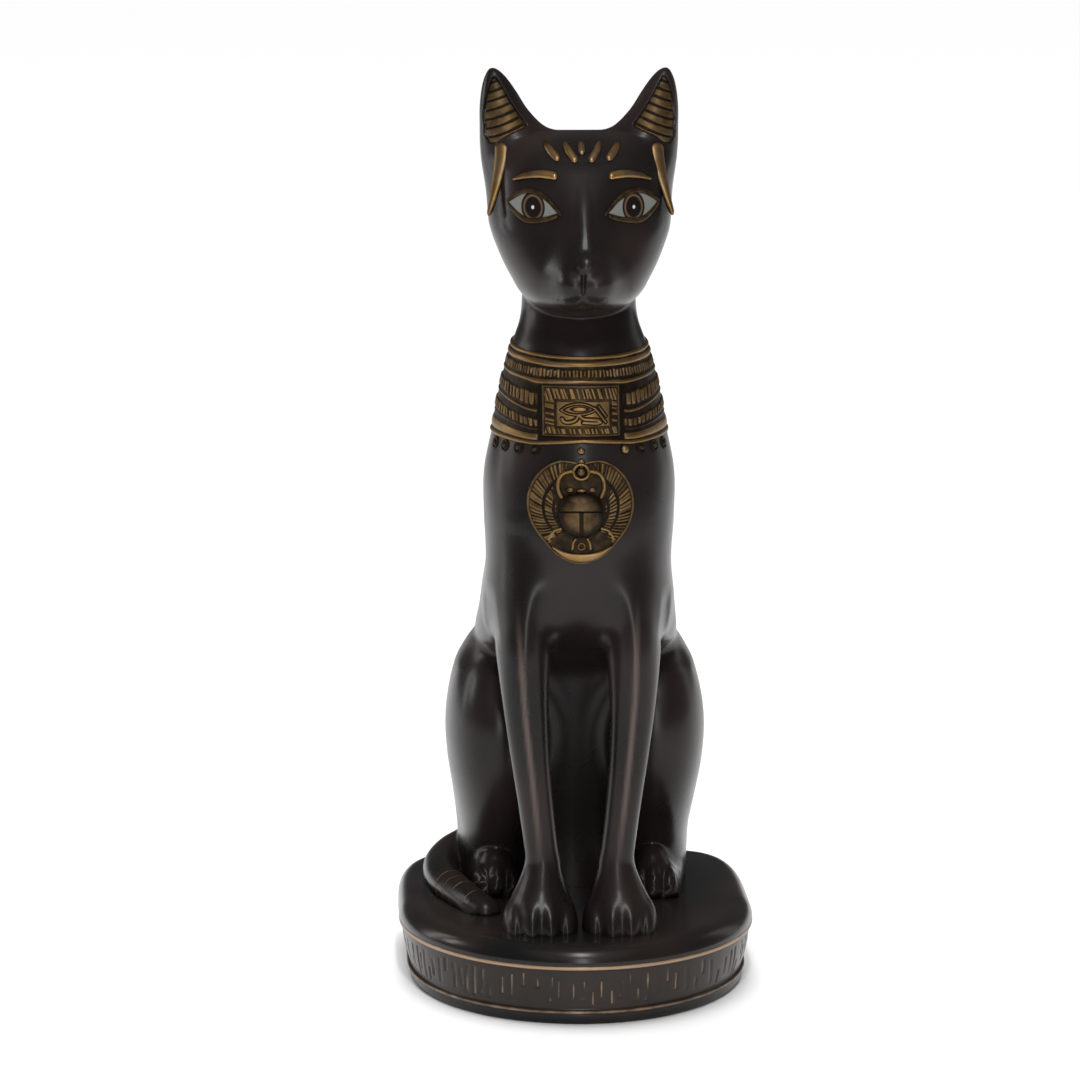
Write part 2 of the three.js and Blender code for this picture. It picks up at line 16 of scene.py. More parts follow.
import bmesh
import bpy
import numpy as np
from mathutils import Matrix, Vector


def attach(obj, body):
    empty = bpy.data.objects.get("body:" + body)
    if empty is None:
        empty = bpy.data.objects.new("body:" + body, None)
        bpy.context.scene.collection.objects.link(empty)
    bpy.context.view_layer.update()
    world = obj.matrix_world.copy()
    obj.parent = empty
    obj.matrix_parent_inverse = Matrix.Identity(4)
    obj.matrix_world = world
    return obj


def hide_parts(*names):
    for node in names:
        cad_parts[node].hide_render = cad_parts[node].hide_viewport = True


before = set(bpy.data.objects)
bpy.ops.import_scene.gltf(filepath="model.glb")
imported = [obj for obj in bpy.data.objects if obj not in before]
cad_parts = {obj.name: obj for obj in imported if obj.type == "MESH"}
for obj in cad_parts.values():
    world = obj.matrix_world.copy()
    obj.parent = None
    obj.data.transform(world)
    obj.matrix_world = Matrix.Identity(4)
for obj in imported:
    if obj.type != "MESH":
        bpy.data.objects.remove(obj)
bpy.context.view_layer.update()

log = logging.getLogger("temple_cat")

Array = np.ndarray
Rows = tuple[tuple[float, ...], ...]
Groove = tuple[Rows, float, float]  # path, half-width and depth
Swell = tuple[float, float, float, float, float]  # across, height, half-width, half-height, rise

NODE = "bastet_cat_figure"
MM = 0.001
FIGURE_ORIGIN = np.array([0.6, 0.0, 25.5])  # the figure's middle on the plinth's top
SEAM = 1e-6  # metres within which seam points are one point
PROBE = 0.02  # step for slopes of a form's distance
SEED = 7

# How square the trunk's sections are, by height: the chest is fuller than an ellipse
TRUNK_POWERS: Rows = (
    (-3, 2.1), (70, 2.1), (88, 2.35), (104, 2.6), (118, 2.5), (134, 2.2), (150, 2), (212, 2),
)
# Upright forms, one row for a level: height, front, back, half-width, middle
TRUNK: Rows = (
    (-3, 11, 61, 33), (0, 10.5, 61.5, 33.5), (20, 10, 62.5, 35), (45, 6, 61, 35.5),
    (70, 0, 56, 34.5), (77.5, -3, 53.7, 34), (81, -8, 52.5, 33.7), (84.5, -16, 51.2, 33.6),
    (88, -24, 49.8, 33.3), (92, -30.5, 48.3, 32.9), (97, -35.8, 46.5, 32.2),
    (104, -39.6, 43.8, 31.4), (114.5, -42, 39.5, 30.2),
    (129.5, -43, 33, 31), (144.5, -41, 27, 31), (159.5, -37, 21, 28.1),
    (174.5, -32, 16.5, 25), (186.5, -27, 14, 21.6), (192.5, -23, 13, 19.5),
    (198, -20.5, 13, 18.6), (212, -20, 13, 18.4),
)
HEAD: Rows = (
    (192, -15, 9, 8.5), (195.4, -20, 10, 11), (197.3, -28, 11, 12.8), (198.7, -35, 12, 14.4),
    (200.3, -39.8, 12.7, 16.3), (202.3, -43, 13.6, 18.4), (204.8, -44.7, 14.7, 20.4),
    (207.5, -45.1, 15.5, 21.9),
    (212.5, -43.8, 17, 24.6), (218, -41.5, 18, 27), (223.5, -39, 18.5, 28.9),
    (228.5, -36.6, 18.5, 29.5), (234.5, -33.8, 18, 29.2), (240.5, -30.5, 16, 28.4),
    (245.5, -27, 13, 26.8), (249.5, -23, 9, 24), (252.5, -17.5, 4.5, 20), (254.6, -10, -1, 14),
)
EAR: Rows = (
    (228, -12, 4, 6, 21), (236, -15, 8, 10.5, 18.9), (243, -16, 9, 12.2, 19.1),
    (250, -14.5, 7, 12.2, 19.8), (256.5, -12, 4.5, 9.8, 22.3), (261.7, -10, 2.5, 7.6, 24.5),
    (266.9, -8.3, 1, 5.7, 25.9), (271, -6.8, -0.2, 3.8, 26.9), (273.4, -5.6, -1.2, 2.1, 27.5),
    (274.5, -4.4, -2.4, 0.8, 27.9),
)
FORELEG: Rows = (
    (-3, -55, -31, 11, 12.9), (2, -55, -31, 11.1, 12.9), (6, -54.4, -31.5, 10.7, 12.9),
    (10, -52.6, -32.2, 9.5, 12.7), (14, -50.3, -33.2, 7.8, 12.4), (18.5, -48.4, -34, 6.3, 12.1),
    (22, -47.3, -34.5, 5.7, 11.95),
    (26.5, -47, -34.8, 5.45, 12.55), (38.5, -46.8, -34, 5.65, 13.95),
    (54.5, -46.5, -32.5, 6.3, 15.8), (71.5, -46, -29, 7.35, 17.2), (82, -45.7, -22, 8.3, 17.6),
    (90.5, -45.3, -12, 9.2, 17.6), (100, -43.4, -4, 9.8, 17.1), (109, -40.6, 0, 9.4, 16.4),
    (118, -36.2, 3, 8.6, 15.4), (127, -29.5, 4, 7, 14),
)
HAUNCH: Rows = (
    (-3, 8, 52, 11.8, 26), (4, 7, 52.5, 11.9, 26), (14, 4.5, 53.5, 12.2, 26),
    (20, 1, 54, 12.7, 26), (32, -7, 54.5, 14.7, 26), (43, -11.5, 54.5, 16.5, 26),
    (54.5, -13, 54, 17.3, 26), (64.8, -11.5, 52, 16.4, 26), (74.8, -6.5, 48.5, 13.8, 26),
    (79.6, -1.5, 45, 11.1, 25.8), (84, 5, 40, 7.6, 25), (87.5, 16, 31, 3, 24),
)
HAUNCH_POWERS: Rows = ((0.0, 2.2), (1.0, 2.2))
TAIL_PATH: Rows = (
    (-16, 52, 7.5), (-29, 51, 6.8), (-38.6, 43.5, 5.4), (-43.8, 32, 4.2), (-45, 20, 3.6),
    (-43.9, 8.5, 3.4), (-41.2, -2.3, 3.1), (-37.9, -11.4, 2.5), (-34.6, -18.8, 1.5),
    (-31.4, -23.6, 0.2),
)
# Opening of the ear: height, half-width, middle
EAR_OPENING: Rows = (
    (250.9, 1, 28.2), (253.5, 3.6, 26.9), (256.1, 6.6, 24), (258.5, 6.3, 24.7),
    (262, 4.9, 25.8), (266, 3.3, 26.7), (269.5, 1.8, 27.2), (272, 0.5, 27.4),
)
# Middle of the face over the cheeks: height, rise, half-width, flat share of it
FACE_RISE: Rows = (
    (194, 0, 12, 0.3), (197.5, 0.5, 13, 0.35), (201, 2.3, 14, 0.4), (205, 4.2, 14.6, 0.42),
    (209, 5.1, 14.8, 0.42), (213, 5.5, 14.4, 0.36), (216.5, 5.5, 13.6, 0.24),
    (220, 5.1, 12.8, 0.12), (227, 3.9, 12.2, 0), (234, 2.4, 13, 0), (240, 1, 14, 0),
    (246, 0, 14, 0),
)
# Groove where each shoulder lies over the body behind it
SHOULDER: Groove = (((28.7, 110), (28.6, 105), (28.2, 100), (27.6, 95), (27, 89)), 2.4, 0.75)
# Lines along the forelegs' fronts that are painted paler: partly rubbed paint, partly a painted
# highlight in place of the shins' reflection
SHIN_LINES: tuple[Rows, ...] = (
    ((-21.7, 108), (-21.3, 100), (-19.3, 71), (-17, 50), (-15.2, 32.5), (-14.4, 16)),
    ((17.2, 110), (16.9, 100), (16.1, 74.4), (13.45, 46), (11.4, 28), (10.6, 16)),
)
FACE_AXIS = -0.95  # the mouth lies a little to the cat's right
PHILTRUM: Groove = (((0, 206), (0, 209), (0.2, 212.6)), 1.0, 0.8)
LIP: Groove = (((7.6, 204.3), (5, 203.4), (2.4, 203.8), (0.2, 205.6)), 1.5, 0.3)
NOSTRIL: Groove = (((2.3, 214.1), (0.9, 213), (0.2, 212.6)), 1.8, 0.14)


def mound(distance: Array) -> Array:
    """Smooth mound: 1 at its middle and 0 from a distance of 1 on."""
    return np.maximum(1 - distance**2, 0) ** 2


def ridge(distance: Array, half_width: Array | float) -> Array:
    """Round section of a raised line: 1 along its middle and 0 from its half-width on."""
    return np.sqrt(np.clip(1 - (distance / half_width) ** 2, 0, 1))


def ramp(value: Array, low: float, high: float) -> Array:
    """Smooth ramp from 0 at low to 1 at high."""
    share = np.clip((value - low) / (high - low), 0, 1)
    return share * share * (3 - 2 * share)


def run_together(first: Array, second: Array, fillet: float) -> Array:
    """Smooth lower envelope of two distances: their union with a fillet."""
    share = np.clip(0.5 + 0.5 * (second - first) / fillet, 0, 1)
    return second + (first - second) * share - fillet * share * (1 - share)


def wander(along: Array, waves: int, seed: int) -> Array:
    """Slow uneven wave between about -1 and 1 along a closed share, as in hand-made work."""
    chance = np.random.default_rng(seed)
    total = np.zeros_like(along)
    for turn in range(1, waves + 1):
        total += np.sin(2 * math.pi * turn * along + chance.uniform(0, 2 * math.pi)) / turn
    return total / 1.6


def mirrored(groove: Groove, side: int, axis: float) -> Groove:
    """A groove laid out on one side of an axis."""
    path, half_width, depth = groove
    return tuple((axis + side * x, z) for x, z in path), half_width, depth


def to_world(points: Array) -> Array:
    """Figure millimetres as metres in the shared frame."""
    return (points + FIGURE_ORIGIN) * MM


def line_distance(across: Array, up: Array, path: Rows) -> tuple[Array, Array]:
    """Distance from places to a bent line.

    Args:
        across: First coordinate of each place.
        up: Second coordinate of each place.
        path: Corners of the line.

    Returns:
        The distances, and for each the share along the line of its nearest place.
    """
    corners = np.array(path, float)
    lengths = np.hypot(*np.diff(corners, axis=0).T)
    reached = np.concatenate([[0], np.cumsum(lengths)])
    best = np.full(across.shape, np.inf)
    share = np.zeros(across.shape)
    for (start, end), length, before in zip(zip(corners, corners[1:]), lengths, reached):
        way = (end - start) / length
        along = np.clip((across - start[0]) * way[0] + (up - start[1]) * way[1], 0, length)
        gap = np.hypot(across - start[0] - along * way[0], up - start[1] - along * way[1])
        closer = gap < best
        best = np.where(closer, gap, best)
        share = np.where(closer, (before + along) / reached[-1], share)
    return best, share


class Track:
    """Smooth curve through rows that start with a key: gives the other columns at any keys."""

    def __init__(self, rows: Rows) -> None:
        """Works out the slope at each row."""
        table = np.array(rows, float)
        self.keys, self.values = table[:, 0], table[:, 1:]
        before = np.maximum(np.arange(len(table)) - 1, 0)
        after = np.minimum(np.arange(len(table)) + 1, len(table) - 1)
        gaps = (self.keys[after] - self.keys[before])[:, None]
        self.slopes = (self.values[after] - self.values[before]) / gaps

    def at(self, keys: Array) -> Array:
        """The columns at some keys, one row for each."""
        held = np.clip(keys, self.keys[0], self.keys[-1])
        low = np.clip(np.searchsorted(self.keys, held, side="right") - 1, 0, len(self.keys) - 2)
        span = (self.keys[low + 1] - self.keys[low])[:, None]
        share = (held - self.keys[low])[:, None] / span
        start, end = self.values[low], self.values[low + 1]
        bend = share * share * (3 - 2 * share)
        leave = self.slopes[low] * span * share * (1 - share) ** 2
        arrive = self.slopes[low + 1] * span * share**2 * (share - 1)
        return start + (end - start) * bend + leave + arrive


def smooth_path(rows: Rows, count: int) -> Array:
    """Evenly spaced places on a smooth curve through rows."""
    keyed = tuple((index, *row) for index, row in enumerate(rows))
    fine = Track(keyed).at(np.linspace(0, len(rows) - 1, 40 * len(rows)))
    reached = np.concatenate([[0], np.cumsum(np.linalg.norm(np.diff(fine, axis=0), axis=1))])
    wanted = np.linspace(0, reached[-1], count)
    return np.stack([np.interp(wanted, reached, column) for column in fine.T], axis=1)


def curve(rows: Rows, count: int) -> Rows:
    """Smooth curve through rows, as the corners of a bent line."""
    return tuple(map(tuple, smooth_path(rows, count)))


class Form(Protocol):
    """Solid form that knows about how far any point lies outside its surface."""

    def distance(self, points: Array) -> Array:
        """Distances outside the surface, negative inside."""

    def corners(self) -> tuple[Array, Array]:
        """Lowest and highest corner of the form's box."""


@dataclass(frozen=True)
class Upright:
    """Upright form whose level sections are superellipses."""

    rows: Rows
    powers: Rows = ((0.0, 2.0), (1.0, 2.0))
    side: float = 1.0  # -1 turns it into its mirror image
    shift: float = 0.0
    cap: float = 3.0  # rounding of its flat ends

    def sections(self, heights: Array) -> tuple[Array, Array, Array, Array]:
        """Core depth, half depth, half-width and middle of the sections at some heights."""
        columns = Track(self.rows).at(heights).T
        front, back, half_width = columns[:3]
        middle = self.side * columns[3] if len(columns) > 3 else np.zeros_like(front)
        return (front + back) / 2, (back - front) / 2, half_width, middle + self.shift

    def drawn_back(self, points: Array, core: Array, half_depth: Array) -> Array:
        """Depths of points as the plain section sees them."""
        return points[:, 1]

    def distance(self, points: Array) -> Array:
        """Distances outside the surface, negative inside."""
        core, half_depth, half_width, middle = self.sections(points[:, 2])
        power = Track(self.powers).at(points[:, 2])[:, 0]
        depth = self.drawn_back(points, core, half_depth)
        across = np.abs((points[:, 0] - middle) / half_width) + 1e-6
        along = np.abs((depth - core) / half_depth) + 1e-6
        reach = (across**power + along**power) ** (1 / power)
        lean = power - 1
        slope = np.hypot(across**lean / half_width, along**lean / half_depth) * reach**-lean
        side = (reach - 1) / slope
        ends = np.maximum(points[:, 2] - self.rows[-1][0], self.rows[0][0] - points[:, 2])
        return -run_together(-side, -ends, self.cap)

    def front(self, across: Array, up: Array) -> Array:
        """Depth of the front surface at places across and up it."""
        core, half_depth, half_width, middle = self.sections(up)
        power = Track(self.powers).at(up)[:, 0]
        share = np.minimum(np.abs((across - middle) / half_width), 0.96)
        return core - half_depth * (1 - share**power) ** (1 / power)

    def corners(self) -> tuple[Array, Array]:
        """Lowest and highest corner of the form's box."""
        table = np.array(self.rows, float)
        core, half_depth, half_width, middle = self.sections(table[:, 0])
        low = ((middle - half_width).min(), (core - half_depth).min(), table[0, 0])
        high = ((middle + half_width).max(), (core + half_depth).max(), table[-1, 0])
        return np.array(low), np.array(high)


@dataclass(frozen=True)
class Skull(Upright):
    """Head whose face rises over it in one smooth surface: ridge, muzzle pads and chin."""

    pad: Swell = (5.6, 208.6, 6.4, 6.2, 1.2)
    socket: Swell = (15.6, 238, 12, 8, -0.45)
    crest: Swell = (0.4, 227, 3.2, 15, 0.55)

    def rise(self, across: Array, up: Array) -> Array:
        """How far the face stands in front of the plain skull."""
        height, half_width, flat = Track(FACE_RISE).at(up).T
        total = height * (1 - ramp(np.abs(across / half_width), flat, 1.0))
        for x, z, wide, tall, swell in (self.pad, self.socket, self.crest):
            total += swell * mound(np.hypot((np.abs(across) - x) / wide, (up - z) / tall))
        return total

    def drawn_back(self, points: Array, core: Array, half_depth: Array) -> Array:
        """Depths of points with the rise of the face taken off."""
        rise = self.rise(points[:, 0], points[:, 2])
        ahead = np.maximum(core - points[:, 1], 0) / (1 + rise / half_depth)
        return np.where(points[:, 1] < core, core - ahead, points[:, 1])

    def face(self, across: Array, up: Array) -> Array:
        """Depth of the face, its rise included."""
        return self.front(across, up) - self.rise(across, up)

    def corners(self) -> tuple[Array, Array]:
        """Lowest and highest corner of the form's box."""
        low, high = super().corners()
        return low - np.array([0, 8, 0]), high


@dataclass(frozen=True)
class Ball:
    """Ellipsoid."""

    place: tuple[float, float, float]
    size: tuple[float, float, float]

    def distance(self, points: Array) -> Array:
        """Distances outside the surface, negative inside."""
        local = (points - self.place) / self.size
        reach = np.linalg.norm(local, axis=1) + 1e-9
        return reach * (reach - 1) / (np.linalg.norm(local / self.size, axis=1) + 1e-9)

    def corners(self) -> tuple[Array, Array]:
        """Lowest and highest corner of the form's box."""
        return np.subtract(self.place, self.size), np.add(self.place, self.size)


@dataclass(frozen=True)
class Limb:
    """Round limb along a smooth path, thinner towards its end."""

    path: Rows
    root_radius: float
    tip_radius: float
    steps: int = 48

    def spine(self) -> tuple[Array, Array]:
        """Places along the limb's middle, and the radius at each."""
        share = np.linspace(0, 1, self.steps + 1)
        radii = self.root_radius + (self.tip_radius - self.root_radius) * share**0.7
        return smooth_path(self.path, self.steps + 1), radii

    def distance(self, points: Array) -> Array:
        """Distances outside the surface, negative inside."""
        places, radii = self.spine()
        best = np.full(len(points), np.inf)
        for index in range(self.steps):
            start, way = places[index], places[index + 1] - places[index]
            share = np.clip((points - start) @ way / (way @ way), 0, 1)
            gap = np.linalg.norm(points - start - share[:, None] * way, axis=1)
            best = np.minimum(best, gap - radii[index] - share * (radii[index + 1] - radii[index]))
        return best

    def corners(self) -> tuple[Array, Array]:
        """Lowest and highest corner of the form's box."""
        places, _ = self.spine()
        return places.min(axis=0) - self.root_radius, places.max(axis=0) + self.root_radius


@dataclass(frozen=True)
class Blend:
    """Several forms that run together with a fillet."""

    forms: tuple[Form, ...]
    fillet: float
    reach: float = 4.0  # how far beyond a form's box and the fillet it still counts

    def distance(self, points: Array) -> Array:
        """Distances outside the surface, negative inside."""
        total = self.forms[0].distance(points)
        for form in self.forms[1:]:
            low, high = form.corners()
            margin = self.fillet + self.reach
            near = np.all((points > low - margin) & (points < high + margin), axis=1)
            if near.any():
                total[near] = run_together(total[near], form.distance(points[near]), self.fillet)
        return total

    def corners(self) -> tuple[Array, Array]:
        """Lowest and highest corner of the form's box."""
        boxes = [form.corners() for form in self.forms]
        return np.min([box[0] for box in boxes], axis=0), np.max([box[1] for box in boxes], axis=0)


@dataclass(frozen=True)
class Hollowed:
    """Form with another cut out of it."""

    form: Form
    tool: Form
    fillet: float

    def distance(self, points: Array) -> Array:
        """Distances outside the surface, negative inside."""
        return -run_together(-self.form.distance(points), self.tool.distance(points), self.fillet)

    def corners(self) -> tuple[Array, Array]:
        """Lowest and highest corner of the form's box."""
        return self.form.corners()


@dataclass(frozen=True)
class EarHollow:
    """Hollow in an ear's front, with a flat floor that follows the ear."""

    ear: Upright
    depth: float = 1.7

    def distance(self, points: Array) -> Array:
        """Distances outside the hollow, negative in it."""
        half_width, middle = Track(EAR_OPENING).at(points[:, 2]).T
        middle = self.ear.side * middle
        held = np.clip(points[:, 0], middle - half_width, middle + half_width)
        floor = self.ear.front(held, points[:, 2]) + self.depth
        wall = np.abs(points[:, 0] - middle) - half_width
        ends = np.maximum(points[:, 2] - EAR_OPENING[-1][0], EAR_OPENING[0][0] - points[:, 2])
        return np.maximum(np.maximum(wall, points[:, 1] - floor), ends)

    def corners(self) -> tuple[Array, Array]:
        """Lowest and highest corner of the hollow's box."""
        return self.ear.corners()


@dataclass(frozen=True)
class Engraved:
    """Form with fine lines engraved in its front."""

    form: Form
    lines: tuple[Groove, ...]
    foremost: float = -25.0  # nothing behind this is engraved
    fade: float = 1.0  # depth over which the lines end towards there
    taper: float = 0.02  # share of a line over which it grows from either end

    def distance(self, points: Array) -> Array:
        """Distances outside the surface, negative inside."""
        total = self.form.distance(points)
        for path, half_width, depth in self.lines:
            low, high = np.min(path, axis=0) - half_width, np.max(path, axis=0) + half_width
            flat = points[:, [0, 2]]
            near = np.all((flat > low) & (flat < high), axis=1) & (points[:, 1] < self.foremost)
            if near.any():
                gap, share = line_distance(points[near, 0], points[near, 2], path)
                ended = ramp(self.foremost - points[near, 1], 0, self.fade)
                ended *= ramp(np.minimum(share, 1 - share), -0.01, self.taper)
                total[near] += depth * mound(gap / half_width) * ended
        return total

    def corners(self) -> tuple[Array, Array]:
        """Lowest and highest corner of the form's box."""
        return self.form.corners()


@dataclass(frozen=True)
class Between:
    """Form cut off level at two heights."""

    form: Form
    low: float
    high: float

    def distance(self, points: Array) -> Array:
        """Distances outside the surface, negative inside."""
        ends = np.maximum(self.low - points[:, 2], points[:, 2] - self.high)
        return np.maximum(self.form.distance(points), ends)

    def corners(self) -> tuple[Array, Array]:
        """Lowest and highest corner of the form's box."""
        low, high = self.form.corners()
        return np.array([*low[:2], self.low]), np.array([*high[:2], self.high])


def slopes(form: Form, points: Array, distances: Array) -> Array:
    """Slope of a form's distance at points, which points out of its surface."""
    probes = [form.distance(points + PROBE * way) - distances for way in np.eye(3)]
    return np.stack(probes, axis=1) / PROBE


def unit(vectors: Array) -> Array:
    """Vectors at a length of 1."""
    return vectors / (np.linalg.norm(vectors, axis=1, keepdims=True) + 1e-12)


def settle(form: Form, points: Array, rounds: int) -> tuple[Array, Array]:
    """Draws points onto a form's surface.

    Args:
        form: The form.
        points: Places near its surface.
        rounds: How often each point is moved.

    Returns:
        The places on the surface, and the way out of it at each.
    """
    longest = 1.2  # no point is moved further than this in one round
    for _ in range(rounds):
        distances = form.distance(points)
        slope = slopes(form, points, distances)
        steps = slope * (distances / ((slope**2).sum(axis=1) + 1e-6))[:, None]
        far = np.maximum(np.linalg.norm(steps, axis=1, keepdims=True) / longest, 1)
        points = points - steps / far
    return points, unit(slopes(form, points, form.distance(points)))


class Figure:
    """The cat as one smooth blend of forms, and the ground that relief is laid on."""

    FORELEG_SHIFT = -1.4
    HIND_FOOT_LEAD = 3.5
    PAW_MIDDLE = 12.9
    FRONT_TOES = (
        (-8.5, -45.6, (3.5, 8.6, 8.2)), (-3, -48.4, (3.7, 9, 9.6)),
        (3, -48.4, (3.7, 9, 9.6)), (8.5, -45.6, (3.5, 8.6, 8.2)),
    )
    HIND_TOES = ((-5.4, 0, (3.1, 6.4, 10)), (0.2, -1, (3.1, 6.8, 11)), (5.6, 0.2, (3, 6.2, 9.8)))
    HIND_FOOT_SHIFT = -1.1
    HIND_PAW = (26, 7.4, (8.4, 11.6, 16.4))
    HIND_FOOT = (28, 25, (9.4, 27, 12))
    NOSE = (0.3, 214.8, (2.6, 2.0, 2.6))
    CHIN = 197.0  # the ground on the front is the face above this
    SHIN_HIGHLIGHT_DEPTHS = (38.0, 44.0)  # how far in front of the middle the painted highlight and rubbing set in
    SHIN_HIGHLIGHT_HALF_WIDTH = 1.35
    SHIN_HIGHLIGHT_ENDS = (-0.02, 0.3)  # share of a line over which it fades in from either end

    def __init__(self) -> None:
        """Puts the forms together."""
        self.trunk = Upright(TRUNK, TRUNK_POWERS)
        self.skull = Skull(HEAD, cap=3.6)
        self.tail = Limb(TAIL_PATH, root_radius=7.2, tip_radius=5.1)
        self.ears = tuple(Upright(EAR, side=side, cap=0.5) for side in (1, -1))
        rump = Blend((self.trunk, *self.haunches()), fillet=9)
        self.torso = Blend((rump, self.tail), fillet=4)
        forelegs = Blend(self.forelegs(), fillet=0.6, reach=24)
        legs = Blend((self.torso, forelegs), fillet=9)
        grooves = tuple(mirrored(SHOULDER, side, self.FORELEG_SHIFT) for side in (1, -1))
        legs = Engraved(legs, grooves, foremost=-5.0, fade=12.0, taper=0.35)
        self.body = Blend((legs, *self.hind_feet()), fillet=1.6)
        self.head = self.head_form()
        self.whole = Blend((self.body, self.head), fillet=2.5)

    def haunches(self) -> tuple[Upright, ...]:
        """Both haunches."""
        return tuple(Upright(HAUNCH, HAUNCH_POWERS, side=side, cap=4) for side in (1, -1))

    def toes(self, rows: Any, middle: float, lead: float) -> tuple[Ball, ...]:
        """Toes of one paw, set round its middle."""
        return tuple(Ball((middle + x, y - lead, 0), size) for x, y, size in rows)

    def forelegs(self) -> tuple[Form, ...]:
        """Both forelegs with their toes."""
        legs = []
        for side in (1, -1):
            leg = Upright(FORELEG, side=side, shift=self.FORELEG_SHIFT)
            middle = side * self.PAW_MIDDLE + self.FORELEG_SHIFT
            toes = Blend(self.toes(self.FRONT_TOES, middle, 0), fillet=1.3)
            legs.append(Blend((leg, toes), fillet=2.8))
        return tuple(legs)

    def hind_feet(self) -> tuple[Form, ...]:
        """Both hind feet with their toes."""
        feet = []
        for side in (1, -1):
            lead = self.HIND_FOOT_LEAD if side > 0 else 0
            paw_x, paw_y, paw_size = self.HIND_PAW
            foot_x, foot_y, foot_size = self.HIND_FOOT
            middle = side * paw_x + self.HIND_FOOT_SHIFT
            paw = Ball((middle, paw_y - lead, 0), paw_size)
            foot = Ball((side * foot_x + self.HIND_FOOT_SHIFT / 2, foot_y - lead, 0), foot_size)
            toes = Blend(self.toes(self.HIND_TOES, middle, lead), fillet=0.9)
            feet.append(Blend((foot, Blend((paw, toes), fillet=1.8)), fillet=4))
        return tuple(feet)

    def head_form(self) -> Form:
        """Head with nose, mouth and hollow ears."""
        across, up, size = self.NOSE
        depth = float(self.skull.face(np.array([across]), np.array([up]))[0]) + size[1] / 2
        nose = Ball((across, depth, up), size)
        ears = tuple(Hollowed(ear, EarHollow(ear), fillet=0.5) for ear in self.ears)
        head = Blend((Blend((self.skull, nose), fillet=3.6), *ears), fillet=4.5)
        mouth = [mirrored(PHILTRUM, 1, FACE_AXIS)]
        for side in (1, -1):
            mouth += [mirrored(groove, side, FACE_AXIS) for groove in (LIP, NOSTRIL)]
        return Engraved(head, tuple(mouth))

    def front(self, across: Array, up: Array) -> tuple[Array, Array]:
        """Ground on the figure's front.

        Args:
            across: Place across the figure.
            up: Height of the place.

        Returns:
            The places on the front surface, and the way out of it at each.
        """
        face, chest = self.skull.face(across, up), self.trunk.front(across, up)
        start = np.where(up > self.CHIN, face, chest)
        points = np.stack([across, start - 0.5, up], axis=1)
        steepest, longest = -0.12, 2.0
        for _ in range(7):
            distances = self.whole.distance(points)
            ahead = points + np.array([0, PROBE, 0])
            slope = np.minimum((self.whole.distance(ahead) - distances) / PROBE, steepest)
            points[:, 1] -= np.clip(distances / slope, -longest, longest)
        return points, unit(slopes(self.whole, points, self.whole.distance(points)))

    def shin_highlight_and_rub(self, points: Array) -> Array:
        """How far each point is painted paler along the shins' foremost lines: a painted highlight,
        with some rubbing.
        """
        total = np.zeros(len(points))
        before = ramp(-points[:, 1], *self.SHIN_HIGHLIGHT_DEPTHS)
        for path in SHIN_LINES:
            gap, share = line_distance(points[:, 0], points[:, 2], path)
            ended = ramp(np.minimum(share, 1 - share), *self.SHIN_HIGHLIGHT_ENDS)
            total = np.maximum(total, mound(gap / self.SHIN_HIGHLIGHT_HALF_WIDTH) * ended * before)
        return total

    def around(self, turn: Array, up: Array) -> tuple[Array, Array]:
        """Ground round the neck and shoulders.

        Args:
            turn: Angle round the neck from its front, in radians, towards the cat's left.
            up: Height of the place.

        Returns:
            The places on the surface, and the level way out of it at each.
        """
        core, half_depth, half_width, _ = self.trunk.sections(up)
        way = np.stack([np.sin(turn), -np.cos(turn), np.zeros_like(turn)], axis=1)
        level = np.stack([half_width, half_depth, np.ones_like(turn)], axis=1)
        place = way * level + np.stack([np.zeros_like(up), core, up], axis=1)
        return place, unit(way / level)


class Signal:
    """A shader value, so that Python expressions on it add Math nodes."""

    def __init__(self, shader: Shader, socket: Any) -> None:
        """Wraps an output socket."""
        self.shader = shader
        self.socket = socket

    def math(self, operation: str, other: Any = 0.0, flipped: bool = False) -> Signal:
        """One Math node on this value and another, in either order."""
        pair = (other, self) if flipped else (self, other)
        inputs = {0: pair[0], 1: pair[1]}
        return self.shader.node("ShaderNodeMath", {"operation": operation}, inputs)

    def __add__(self, other: Any) -> Signal:
        """Sum."""
        return self.math("ADD", other)

    __radd__ = __add__

    def __mul__(self, other: Any) -> Signal:
        """Product."""
        return self.math("MULTIPLY", other)

    __rmul__ = __mul__

    def __sub__(self, other: Any) -> Signal:
        """Difference."""
        return self.math("SUBTRACT", other)

    def __rsub__(self, other: Any) -> Signal:
        """Reflected difference."""
        return self.math("SUBTRACT", other, flipped=True)

    def __truediv__(self, other: Any) -> Signal:
        """Quotient."""
        return self.math("DIVIDE", other)

    def __pow__(self, other: Any) -> Signal:
        """Power."""
        return self.math("POWER", other)

    def __abs__(self) -> Signal:
        """Size without sign."""
        return self.math("ABSOLUTE")

    def lowest(self, other: Any) -> Signal:
        """The lower of two values."""
        return self.math("MINIMUM", other)

    def highest(self, other: Any) -> Signal:
        """The higher of two values."""
        return self.math("MAXIMUM", other)

    def ramp(self, low: float, high: float) -> Signal:
        """Smooth ramp from 0 at low to 1 at high."""
        settings = {"interpolation_type": "SMOOTHSTEP"}
        inputs = {"Value": self, "From Min": low, "From Max": high, "To Min": 0.0, "To Max": 1.0}
        return self.shader.node("ShaderNodeMapRange", settings, inputs)


